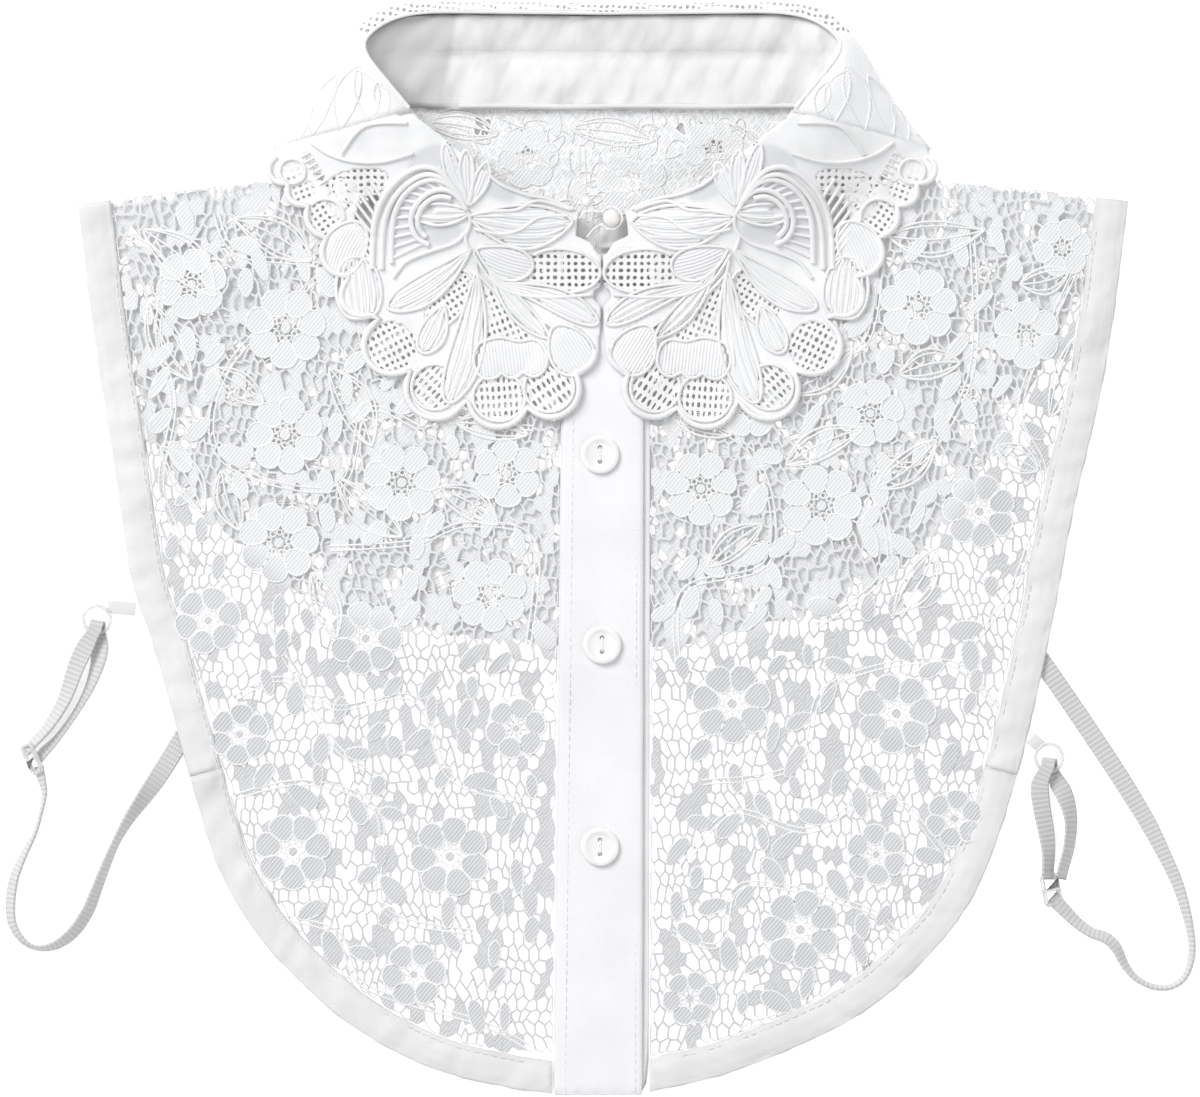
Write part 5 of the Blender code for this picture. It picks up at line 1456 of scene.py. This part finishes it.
ground.verts.index_update()
sheer = np.zeros(len(spots))
for outline in tulle_shapes:
    depth = nearest(outline, spots)[0] * np.where(inside(outline, spots), 1.0, -1.0)
    sheer = np.maximum(sheer, np.clip(0.5 + depth / SHEER_EASE, 0.0, 1.0))
sheer_layer = ground.verts.layers.float.new("sheer")
for vertex, share in zip(ground.verts, sheer):
    vertex[sheer_layer] = share
for face in ground.faces:
    indices = [loop.vert.index for loop in face.loops]
    face.material_index = 1 if all(plain[i] for i in indices) else 0
    for loop, i in zip(face.loops, indices):
        loop[uv_layer].uv = (uv_across[i], uv_along[i])
# Painted shade: where the ground is sheer tulle it is painted greyer, for the shade that shows through
# the net.
guipure_ground = thread_finish("guipure_ground", (0.93, 0.93, 0.935), 0.6)
tree = guipure_ground.node_tree
sheer_share = node(tree, "Attribute", attribute_name="sheer").outputs["Fac"]
toned(tree, tree.nodes["Principled BSDF"], sheer_share, (0.74, 0.745, 0.765))
fall_left_sheet = piece("guipure_fall_left", ground, [guipure_satin, guipure_ground],
                        "guipure", ["fall_left"])
thicken(fall_left_sheet, SHEET_THICK)

# %% Mesh in the openwork
MESH_BAR = 0.43
MESH_THICK = 0.75
MESH_UNDER = 2.0          # the mesh reaches this far under the shapes round it


def square_mesh(outline, turn, across, along):
    """Openings in rows over an outline."""
    reach = float(np.ptp(outline, axis=0).max()) * 0.75
    middle = (outline.max(axis=0) + outline.min(axis=0)) / 2
    shape = grid_over((-reach, -reach), (reach, reach), across)
    bmesh.ops.scale(shape, vec=(1.0, along / across, 1.0), verts=shape.verts)
    bmesh.ops.rotate(shape, cent=(0, 0, 0), matrix=Matrix.Rotation(math.radians(turn), 3, "Z"),
                     verts=shape.verts)
    bmesh.ops.translate(shape, vec=(*middle, 0.0), verts=shape.verts)
    for vertex in shape.verts:
        bend = noise.noise_vector(vertex.co * 0.35)
        vertex.co.x += 0.6 * bend.x
        vertex.co.y += 0.6 * bend.y
    places = centres(shape)
    drop_faces(shape, inside(outline, places) & inside(fall_edge, places))
    return shape


mesh_all = bmesh.new()
for outline, row in zip(oval_shapes, mesh_rows):
    grown = offset(outline, -MESH_UNDER if signed_area(outline) > 0 else MESH_UNDER)
    part = square_mesh(grown, *row)
    spare = bpy.data.meshes.new("spare")
    part.to_mesh(spare)
    part.free()
    mesh_all.from_mesh(spare)
    bpy.data.meshes.remove(spare)
cells = mesh_all.faces[:]
bmesh.ops.inset_individual(mesh_all, faces=cells, thickness=MESH_BAR, use_even_offset=True)
bmesh.ops.delete(mesh_all, geom=cells, context="FACES_ONLY")
for vertex in mesh_all.verts:
    vertex.co.z = fall_height(vertex.co.x, vertex.co.y) - 0.25
mesh_left = piece("guipure_mesh_left", mesh_all, [guipure_cord], "guipure")
thicken(mesh_left, MESH_THICK, -1.0, 1)

# %% Padded cords of the guipure
EDGE_CORD = 1.05
PETAL_CORD = 0.58
ARCH_CORD = 1.0
RUNG_CORD = 0.6
RIDGE_CORD = 0.45
BRANCH_CORD = 0.62
SLIT_CORD = 0.45
SLIT_RUNGS = 6
SLIT_FROM = (-98.0, 131.0)
SLIT_TO = (-92.0, 122.0)


def on_fall(path, radius, lift=0.0, closed=False):
    return [(x, y, fall_height(x, y) + lift, radius) for x, y in path], closed


def ridge_paths(outline, ridges):
    """Ridges inside a petal that run from its base to its tip, at even shares of its width."""
    half_count = len(outline) // 2
    left, right = outline[:half_count + 1], np.vstack([outline[:1], outline[:half_count - 1:-1]])
    paths = []
    for k in range(ridges):
        share = (k + 1) / (ridges + 1)
        line = left[:half_count] * share + right[:half_count] * (1 - share)
        paths.append(line[half_count // 6:-(half_count // 7)])
    return paths


lines = [on_fall(offset(scallops, 0.9, closed=False), EDGE_CORD, 0.35)]
for outline, _, _, ridges in petals:
    lines.append(on_fall(outline, PETAL_CORD, 0.3, True))
    for path in ridge_paths(outline, ridges):
        lines.append(on_fall(path, RIDGE_CORD, SATIN_RISE * 0.5))
for outline in oval_shapes:
    clear = np.ones(len(outline), bool)
    for shape, *_ in petals:
        clear &= ~inside(shape, outline)
    clear &= nearest(scallops, outline, closed=False)[0] > 1.4
    start = int(np.argmin(clear))
    run = []
    for point, free in list(zip(np.roll(outline, -start, axis=0), np.roll(clear, -start))) + [(0, 0)]:
        if free:
            run.append(point)
        else:
            if 3 < len(run) < len(outline):
                lines.append(on_fall(run, PETAL_CORD, 0.2))
            run = []
for path in arch:
    lines.append(on_fall(path, ARCH_CORD, 0.45))
for a, b in inner_ladder:
    lines.append(on_fall(np.linspace(a, b, 6), RUNG_CORD, 0.1))
for a, b in zip(outer_leg[::3], outer_side[1::3]):
    lines.append(on_fall(np.linspace(a + (0.3, -1.2), b + (-0.6, 1.4), 6), RUNG_CORD, 0.1))
for path in BRANCHES:
    lines.append(on_fall(smooth_path(path, 1.0), BRANCH_CORD, 0.4))
for spot in np.linspace(SLIT_FROM, SLIT_TO, SLIT_RUNGS):
    lines.append(on_fall(np.linspace(spot + (-1.4, -0.8), spot + (1.4, 0.8), 4), SLIT_CORD, 0.1))
cords_left = cords("guipure_cords_left", lines, guipure_cord, "guipure", 1)

# %% Mirror image for the right fall
def mirror_piece(source, name, replaced=()):
    """A piece's mirror image about the collar's middle, with its faces turned outwards again."""
    shape = bmesh.new()
    shape.from_mesh(source.data)
    bmesh.ops.scale(shape, vec=(-1 / MM, 1 / MM, 1 / MM), verts=shape.verts)
    bmesh.ops.translate(shape, vec=(2 * COLLAR_MIDDLE, 0.0, 0.0), verts=shape.verts)
    bmesh.ops.reverse_faces(shape, faces=shape.faces[:])
    made = piece(name, shape, source.data.materials[:], source["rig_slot"], replaced)
    for modifier in source.modifiers:
        if modifier.type == "SUBSURF":
            soft = made.modifiers.new("rounding", "SUBSURF")
            soft.levels = soft.render_levels = modifier.levels
        else:
            wall = made.modifiers.new("wall", "SOLIDIFY")
            wall.thickness, wall.offset = modifier.thickness, modifier.offset
    return made


fall_right_sheet = mirror_piece(fall_left_sheet, "guipure_fall_right", ["fall_right"])
mesh_right = mirror_piece(mesh_left, "guipure_mesh_right")
cords_right = mirror_piece(cords_left, "guipure_cords_right")
declare(fall_left_sheet, fall_edge)
declare(fall_right_sheet, fall_edge)

# %% [markdown]
# ## Guipure round the back of the neck
# From the shoulders the lace turns over the stand and in under the garment. Its outer face is
# plain tulle with faint leaves, and a strip of openwork lies along the top, its openings painted
# shade.

# %% Back fall
tulle, tulle_tree, tulle_shader = material("guipure_tulle", (0.93, 0.93, 0.935), 0.7, 0.3)
grain_a = bands(tulle_tree, placed(tulle_tree, 30.0), 0.8, 1.5)
grain_b = bands(tulle_tree, placed(tulle_tree, -60.0), 0.8, 1.5)
grain_c = blotches(tulle_tree, placed(tulle_tree), 12.0)
shade(tulle_tree, tulle_shader, grain_c, (0.88, 0.885, 0.90), (0.95, 0.95, 0.95))
bump(tulle_tree, tulle_shader, combine(tulle_tree, grain_a, grain_b), 0.06)
# Painted shade: darker spots along the top edge, where the lace turns over the stand, stand for the
# shade in small openings.
opening_shade = combine(tulle_tree, bands(tulle_tree, placed(tulle_tree, 12.0), 2.0, 3.0),
                bands(tulle_tree, placed(tulle_tree, 96.0), 2.1, 4.0), "MULTIPLY")
along_top = past(tulle_tree, part_of(tulle_tree, "Y"), 170.6, 172.0)
off_floor = past(tulle_tree, part_of(tulle_tree, "Z"), 6.5, 8.0)
along_top = combine(tulle_tree, along_top, off_floor, "MULTIPLY")
toned(tulle_tree, tulle_shader,
      combine(tulle_tree, past(tulle_tree, opening_shade, 0.30, 0.55), along_top, "MULTIPLY"),
      (0.36, 0.36, 0.365))

shape = finer_copy("fall_back", 1)
pull(shape, lambda place: back_swell(place.x, place.y))
back_fall = piece("guipure_fall_back", shape, [tulle], "guipure", ["fall_back"])
back_fall_tree = surface("fall_back")
SIDE_LEAVES = [
    # base x, base y, tip x, tip y, width, fattest at, bend, bluntness
    (-96, 137.5, -87.5, 157, 6, 0.5, 1, 0.8),
    (-86.5, 138.5, -80, 160, 8, 0.55, 1, 0.8),
    (-76, 141, -80.5, 158.5, 8, 0.55, -1.5, 0.8),
    (-70.5, 144.5, -74, 154.5, 5, 0.5, 0, 0.8),
    (-101, 135.5, -95.5, 148, 4, 0.5, 0.6, 0.8),
]
SIDE_LEAF_CORD = 0.34
TOP_ROWS = (179.0, 180.7)           # two cords along the top, with short bars between them
TOP_CORD = 0.3
TOP_BARS = 54
TOP_BAR_CORD = 0.26
RIM_CORD = 0.75                     # the cord along the fold over the stand's edge
RIM_FROM = (-62.0, 145.0)           # from shoulder to shoulder
RIM_TO = (64.0, 145.0)

lines = []
for row in SIDE_LEAVES:
    ring = leaf_outline(row, 14)[0]
    for half in (ring, ring * (-1, 1) + (2 * COLLAR_MIDDLE, 0)):
        lines.append((lie_on(back_fall_tree, half, SIDE_LEAF_CORD, 0.1), True))
for level in TOP_ROWS:
    path = [(x, level) for x in np.arange(-56.0, 57.5, 1.6)]
    lines.append((lie_on(back_fall_tree, path, TOP_CORD, 0.1), False))
for k in range(TOP_BARS):
    x = -55.0 + k * 2.08
    lean = 0.5 * math.sin(k * 1.9)
    bar = [(x, 179.0), (x + lean * 0.6, 179.9), (x + lean, 180.8)]
    lines.append((lie_on(back_fall_tree, bar, TOP_BAR_CORD, 0.15), False))
turn_over = plan_outline("fall_back")
first = int(np.argmin(np.hypot(*(turn_over - RIM_FROM).T)))
turn_over = np.roll(turn_over, -first, axis=0)
last = int(np.argmin(np.hypot(*(turn_over - RIM_TO).T)))
rim = smooth_path(turn_over[:last + 1], 1.6)
for _ in range(3):
    rim[1:-1] = (rim[:-2] + rim[1:-1] + rim[2:]) / 3
carried = [height_on(back_fall_tree, x, y) for x, y in offset(rim, 0.9, closed=False)]
lines.append(([(x, y, z - 0.2, RIM_CORD) for (x, y), z in zip(rim, carried)][1:-1], False))
cords("guipure_back_cords", lines, guipure_cord, "guipure", 1)
declare_wall(back_fall, "fall_back")

# %% [markdown]
# ## Buttons
# A two-hole shirt button is turned: a flat back, a rounded rim and a shallow dish. Its profile is
# spun round the axis, the two holes are cut by a boolean, and a few thread strands cross them.

# %% Buttons
button_finish = moulded_finish("button_plastic", (0.90, 0.90, 0.895), 0.32, 2.4,
                               ((0.85, 0.85, 0.845), (0.93, 0.93, 0.925)),
                               {"Coat Weight": 0.25}, 20.0, (1.0, 0.4, 1.0))
BUTTON_WIDE = 12.8
HOLES_APART = 4.7
HOLE_WIDE = 1.5
BUTTON_TALL = 1.9


def turned_button(name, replaced):
    """The spun body with its holes cut. Gives the strands of thread that cross its holes."""
    x, y = plan_middle(replaced)
    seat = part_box(replaced)[0].z / MM - 0.2
    outer = BUTTON_WIDE / 2
    rise = BUTTON_TALL
    profile = [(0.0, 0.0), (outer - 1.6, 0.0), (outer - 0.5, 0.35), (outer, rise * 0.52),
               (outer - 0.25, rise * 0.84), (outer - 0.9, rise), (outer - 1.6, rise * 0.95),
               (outer - 2.2, rise * 0.72), (outer - 3.0, rise * 0.64), (0.0, rise * 0.62)]
    shape = bmesh.new()
    spots = [shape.verts.new((r, 0.0, z)) for r, z in profile]
    edges = [shape.edges.new(pair) for pair in zip(spots, spots[1:])]
    bmesh.ops.spin(shape, geom=spots + edges, cent=(0, 0, 0), axis=(0, 0, 1),
                   angle=2 * math.pi, steps=48, use_merge=True)
    bmesh.ops.remove_doubles(shape, verts=shape.verts, dist=0.001)
    bmesh.ops.recalc_face_normals(shape, faces=shape.faces)
    bmesh.ops.translate(shape, vec=(x, y, seat), verts=shape.verts)
    made = piece(name, shape, [button_finish], "button", [replaced])
    for side in (-1, 1):
        drill = bmesh.new()
        bmesh.ops.create_cone(drill, cap_ends=True, segments=20, radius1=HOLE_WIDE / 2,
                              radius2=HOLE_WIDE / 2, depth=rise * 3)
        bmesh.ops.translate(drill, vec=(x, y + side * HOLES_APART / 2, seat + rise / 2),
                            verts=drill.verts)
        bmesh.ops.scale(drill, vec=(MM, MM, MM), verts=drill.verts)
        drill_mesh = bpy.data.meshes.new("drill")
        drill.to_mesh(drill_mesh)
        drill.free()
        drill_object = bpy.data.objects.new("drill", drill_mesh)
        link(drill_object)
        cut = made.modifiers.new("hole", "BOOLEAN")
        cut.operation = "DIFFERENCE"
        cut.object = drill_object
        bpy.context.view_layer.update()
        cleaned = bpy.data.meshes.new_from_object(made.evaluated_get(
            bpy.context.evaluated_depsgraph_get()))
        made.modifiers.clear()
        made.data = cleaned
        bpy.data.objects.remove(drill_object, do_unlink=True)
    made.data.name = name
    made.data.shade_smooth()
    made.data.set_sharp_from_angle(angle=math.radians(35.0))
    strands = []
    for off in (-0.28, 0.0, 0.28):
        rows = []
        for t in np.linspace(-1.0, 1.0, 9):
            dip = max(abs(t) - 0.8, 0.0) * 5.0
            rows.append((x + off * (1 - abs(t) * 0.3), y + t * HOLES_APART * 0.50,
                         seat + rise * 0.62 + 0.06 - dip * 0.9, 0.17))
        strands.append((rows, False))
    return strands


thread_lines = []
for number in (1, 2, 3):
    thread_lines += turned_button(f"button_{number}_turned", f"button_{number}")
cords("button_threads", thread_lines, outline_thread, "cotton", 1)

# %% [markdown]
# ## Closure
# A pearl button on the end of the stand goes through a loop of thread. A pearl is a shell of thin
# coats, so its material has a clear coat over a faintly rosy white.

# %% Pearl, bead and loop
pearl_finish = moulded_finish("pearl_coat", (0.93, 0.90, 0.87), 0.22, 2.2,
                              ((0.88, 0.84, 0.81), (0.95, 0.93, 0.91)),
                              {"Coat Weight": 0.8, "Coat Roughness": 0.12})


def pearl(name, replaced, flatten):
    """A ball as large as its solid, flattened below."""
    low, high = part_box(replaced)
    middle = (low + high) / 2 / MM
    size = (high - low) / 2 / MM
    shape = bmesh.new()
    bmesh.ops.create_uvsphere(shape, u_segments=36, v_segments=20, radius=1.0)
    bmesh.ops.scale(shape, vec=size, verts=shape.verts)
    for vertex in shape.verts:
        vertex.co *= 1.0 - flatten * max(-vertex.co.normalized().z, 0.0) ** 2
    bmesh.ops.translate(shape, vec=middle, verts=shape.verts)
    piece(name, shape, [pearl_finish], "pearl", [replaced])


pearl("pearl_button_coated", "pearl_button", 0.18)
pearl("loop_bead_coated", "loop_bead", 0.05)
px, py = plan_middle("pearl_button")
LOOP_RADIUS = 3.65
LOOP_CORD = 0.3
loop_path = [(-6.8, 109.8, 8.5), (-4.4, 112.0, 9.0)]
for a in np.radians(np.linspace(145.0, -145.0, 17)):
    loop_path.append((px + LOOP_RADIUS * math.cos(a), py + LOOP_RADIUS * math.sin(a), 8.9))
loop_path += [(-1.8, 106.4, 8.6), (-4.2, 103.7, 8.1)]
loop_smooth = smooth_path(loop_path, 0.4)
lines = []
for phase in (0.0, math.pi):
    strand = []
    for k, (x, y, z) in enumerate(loop_smooth):
        twist = k * 0.55 + phase
        strand.append((x + 0.2 * math.cos(twist), y + 0.2 * math.cos(twist),
                       z + 0.22 * math.sin(twist), LOOP_CORD))
    lines.append((strand, False))
cords("thread_loop_twisted", lines, outline_thread, "guipure", 1, ["thread_loop"])

# %% [markdown]
# ## Straps
# The side straps are narrow ribbed elastic that stands on edge in its turns. A band's cross
# section is a row of small ribs, laid along the same route as its solid.

# %% Strap routes
LEFT_LONG = [
    # x, y, turn, lift
    (-186.8, -72.6, 62, 0.6), (-185.9, -77, 66, 0.6),
    (-185, -81.5, 76, 0), (-186.1, -87.7, 82, 0),
    (-188, -94.3, 80, 0), (-191.4, -101, 72, 0), (-194.9, -109, 62, 0),
    (-196.3, -117.3, 60, 0), (-195.8, -124.9, 64, 0), (-192.4, -130.4, 72, 0),
    (-187.6, -133, 78, 0), (-181.5, -132.2, 66, 0), (-175.5, -127.8, 54, 0),
    (-170.8, -121, 54, 0), (-167.9, -114, 60, 0), (-164.8, -106, 66, 0),
    (-161.1, -97.5, 70, 0), (-156.9, -90, 58, 0), (-152.8, -84, 40, 0),
    (-148.2, -77.4, 18, 0), (-143.6, -70.3, 0, 0), (-138, -61, 0, 0),
    (-136.4, -58.3, 0, 0),
]
RIGHT_LONG = [
    # x, y, turn, lift
    (150.3, -116.1, -44, 0.6), (153.4, -119.2, -46, 0.6),
    (156.4, -122.2, -52, 0), (159.7, -125.3, -58, 0),
    (164, -128.1, -62, 0), (168.6, -129.6, -58, 0), (172, -133, -58, 0),
    (174.5, -138.2, -66, 0), (178.4, -143, -76, 0), (184.2, -145.9, -80, 0),
    (190.2, -145.9, -82, 0), (194.8, -142.4, -80, 0), (197, -135.6, -78, 0),
    (196.8, -129, -76, 0), (195.3, -121.6, -68, 0), (192.4, -111.9, -58, 0),
    (188.1, -102.3, -48, 0), (182.3, -90.9, -30, 0), (174.3, -77.7, -16, 0),
    (165.6, -64.5, -8, 0), (156.8, -51.5, 0, 0), (147.5, -38, 0, 0),
    (141, -29, 0, 0),
]
STRAP_WIDE = 6.0
STRAP_THICK = 0.9
STRAP_RIBS = 6
RIB_RISE = (-0.05, 0.12)            # of the hollows and the ribs

elastic, elastic_tree, elastic_shader = material("ribbed_elastic", (0.62, 0.62, 0.615), 0.65, 0.2)
ribs = bands(elastic_tree, placed(elastic_tree, uv=True), 1.0)
picks = bands(elastic_tree, placed(elastic_tree, 90.0, uv=True), 1.6, 0.8)
shade(elastic_tree, elastic_shader,
      combine(elastic_tree, picks, ribs, "ADD", 0.4),
      (0.56, 0.56, 0.555), (0.66, 0.66, 0.655), 0.2, 1.1)
bump(elastic_tree, elastic_shader, combine(elastic_tree, picks, ribs, "ADD", 0.5), 0.16)


# %% Strap helper
def ribbed_band(name, frames, replaced):
    """A band through rows of middle, side and width, with ribs along both faces."""
    across = STRAP_RIBS * 2
    shape = bmesh.new()
    bmesh.ops.create_grid(shape, x_segments=across, y_segments=len(frames) - 1, size=0.5)
    uv_layer = shape.loops.layers.uv.new("stitch")
    rows = {}
    for vertex in shape.verts:
        i = round((vertex.co.y + 0.5) * (len(frames) - 1))
        j = round((vertex.co.x + 0.5) * across)
        rows[vertex] = (i, j)
    reached = [0.0]
    for before, after in zip(frames, frames[1:]):
        reached.append(reached[-1] + (after[0] - before[0]).length)
    for face in shape.faces:
        for loop in face.loops:
            i, j = rows[loop.vert]
            loop[uv_layer].uv = (j * STRAP_WIDE / across, reached[i])
    for vertex, (i, j) in rows.items():
        middle, side, wide = frames[i]
        along = frames[min(i + 1, len(frames) - 1)][0] - frames[max(i - 1, 0)][0]
        face_way = along.normalized().cross(side).normalized()
        vertex.co = middle + side * wide * (j / across - 0.5) + face_way * RIB_RISE[j % 2]
    made = piece(name, shape, [elastic], "elastic", replaced)
    thicken(made, STRAP_THICK - 0.1, 0.0)


def walk(route):
    """Even places along a route, each with the level way past it."""
    fine = smooth_path(route, 2.0)
    for i, place in enumerate(fine):
        before, after = fine[max(i - 1, 0)], fine[min(i + 1, len(fine) - 1)]
        yield place, Vector((after[0] - before[0], after[1] - before[1], 0.0)).normalized()


def long_frames(route):
    """Middle, side and width at even steps along a strap's route."""
    frames = []
    for (x, y, turn, lift), step in walk(route):
        roll = math.radians(turn)
        side = Vector((-step.y, step.x, 0.0)) * math.cos(roll) + Vector((0, 0, math.sin(roll)))
        half = STRAP_WIDE / 2 * abs(math.sin(roll)) + STRAP_THICK / 2 * abs(math.cos(roll))
        frames.append((Vector((x, y, half + lift + 0.06)), side, STRAP_WIDE))
    return frames


ribbed_band("elastic_left_long", long_frames(LEFT_LONG), ["strap_left_long"])
ribbed_band("elastic_right_long", long_frames(RIGHT_LONG), ["strap_right_long"])

# %% Strap loops
LOOPS = {
    "left": {
        "ring": (-167.6, -23.6),
        "lower": [
            # x, y, turn, z
            (-187.3, -70.1, 60, 3.3), (-184.6, -67.2, 62, 3.3),
            (-180.6, -63, 72, 3.3), (-175, -55.3, 74, 3.3),
            (-170.3, -47, 64, 3.2), (-167.4, -38.5, 42, 2.7), (-166.6, -31.5, 12, 1.2),
            (-167.2, -26.6, 0, 0.5),
        ],
        "upper": [
            # x, y, turn, z
            (-168.1, -27, 0, 4), (-171.2, -32.5, 6, 4.2), (-174.6, -40, 22, 4),
            (-178.2, -50, 44, 3.6), (-183.2, -58.6, 58, 4), (-188.6, -64.8, 62, 4.9),
            (-191.2, -67.8, 62, 4.9),
        ],
    },
    "right": {
        "ring": (149.6, -69.6),
        "lower": [
            # x, y, turn, z
            (153.4, -110.1, -56, 3.2), (154.4, -106.2, -56, 3.2),
            (156.3, -98.7, -54, 3.1), (156.8, -90, -48, 2.9),
            (154.8, -82, -24, 1.9), (151.6, -76.4, -6, 0.9), (150.2, -72.6, 0, 0.5),
        ],
        "upper": [
            # x, y, turn, z
            (149, -72.8, 0, 4), (146.4, -78.5, -4, 4.1), (147, -86.5, -16, 3.8),
            (148.6, -95, -30, 3.6), (149.2, -101.2, -44, 4.1), (149, -106.6, -50, 4.4),
            (148.9, -110.2, -50, 4.4),
        ],
    },
}
RING_GATHER = 0.28        # share of the width that is lost in the ring
GATHER_FROM = 11.0        # distance from the ring
GATHER_EASE = 6.5
LOOP_BULGE = 2.6          # how far the turn through the ring stands out


def layer_frames(rows, backwards, ring):
    """One layer of a loop, gathered where it passes the ring."""
    frames = []
    for (x, y, turn, z), step in walk(rows):
        step = -step if backwards else step
        roll = math.radians(turn)
        side = Vector((-step.y * math.cos(roll), step.x * math.cos(roll), math.sin(roll)))
        near = (GATHER_FROM - math.hypot(x - ring[0], y - ring[1])) / GATHER_EASE
        near = min(max(near, 0.0), 1.0)
        gather = 1.0 - RING_GATHER * near * near * (3 - 2 * near)
        frames.append((Vector((x, y, z)), side, STRAP_WIDE * gather))
    return frames


for side_name, spec in LOOPS.items():
    lower = layer_frames(spec["lower"], True, spec["ring"])
    upper = layer_frames(spec["upper"], False, spec["ring"])
    side = (lower[-1][1] + upper[0][1]).normalized()
    low_end, high_end = lower[-1][0], upper[0][0]
    heading = Vector((side.y, -side.x, 0.0)).normalized()
    to_ring = Vector((spec["ring"][0] - low_end.x, spec["ring"][1] - low_end.y, 0.0))
    heading = -heading if heading.dot(to_ring) < 0 else heading
    turned = []
    for k in range(1, 8):
        a = math.pi * k / 8
        middle = low_end.lerp(high_end, 0.5 - 0.5 * math.cos(a))
        middle += heading * LOOP_BULGE * math.sin(a)
        turned.append((middle, side, STRAP_WIDE * (1.0 - RING_GATHER)))
    ribbed_band(f"elastic_{side_name}_loop", lower + turned + upper, [f"strap_{side_name}_loop"])

# %% [markdown]
# ## Rings, sliders and tabs
# The fittings are milky, half-clear plastic. The ring is a circle spun round its middle, and the
# slider keeps its solid's frame with its edges rounded. The tabs are short cotton strips.

# %% Fittings
clear_plastic = moulded_finish("milky_plastic", (0.90, 0.90, 0.90), 0.18, 3.0,
                               ((0.86, 0.86, 0.865), (0.92, 0.92, 0.925)),
                               {"Transmission Weight": 0.45, "IOR": 1.46})


def round_ring(name, replaced):
    """A circle spun round the middle of its solid."""
    low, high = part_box(replaced)
    middle = (low + high) / 2 / MM
    wire = (high.z - low.z) / MM / 2
    shape = bmesh.new()
    made = bmesh.ops.create_circle(shape, segments=14, radius=wire)
    bmesh.ops.rotate(shape, cent=(0, 0, 0), matrix=Matrix.Rotation(math.radians(90), 3, "X"),
                     verts=made["verts"])
    reach = (high.x - low.x) / MM / 2 - wire
    bmesh.ops.translate(shape, vec=(reach, 0, 0), verts=made["verts"])
    bmesh.ops.spin(shape, geom=shape.verts[:] + shape.edges[:], cent=(0, 0, 0), axis=(0, 0, 1),
                   angle=2 * math.pi, steps=44, use_merge=True)
    bmesh.ops.remove_doubles(shape, verts=shape.verts, dist=0.001)
    bmesh.ops.recalc_face_normals(shape, faces=shape.faces)
    bmesh.ops.translate(shape, vec=middle, verts=shape.verts)
    piece(name, shape, [clear_plastic], "fitting", [replaced])


def rounded_copy(name, replaced, width, finish, slot_name):
    """A solid's merged copy with its edges bevelled."""
    shape = finer_copy(replaced, 0)
    bmesh.ops.dissolve_limit(shape, angle_limit=math.radians(2.0), verts=shape.verts,
                             edges=shape.edges)
    made = piece(name, shape, [finish], slot_name, [replaced], smooth=False)
    soft = made.modifiers.new("rounded", "BEVEL")
    soft.width = width * MM
    soft.segments = 3
    made.data.shade_smooth()


for side in ("left", "right"):
    round_ring(f"ring_{side}_round", f"ring_{side}")
    rounded_copy(f"slider_{side}_rounded", f"slider_{side}", 0.35, clear_plastic, "fitting")
    rounded_copy(f"tab_{side}_soft", f"tab_{side}", 0.25, cotton, "cotton")
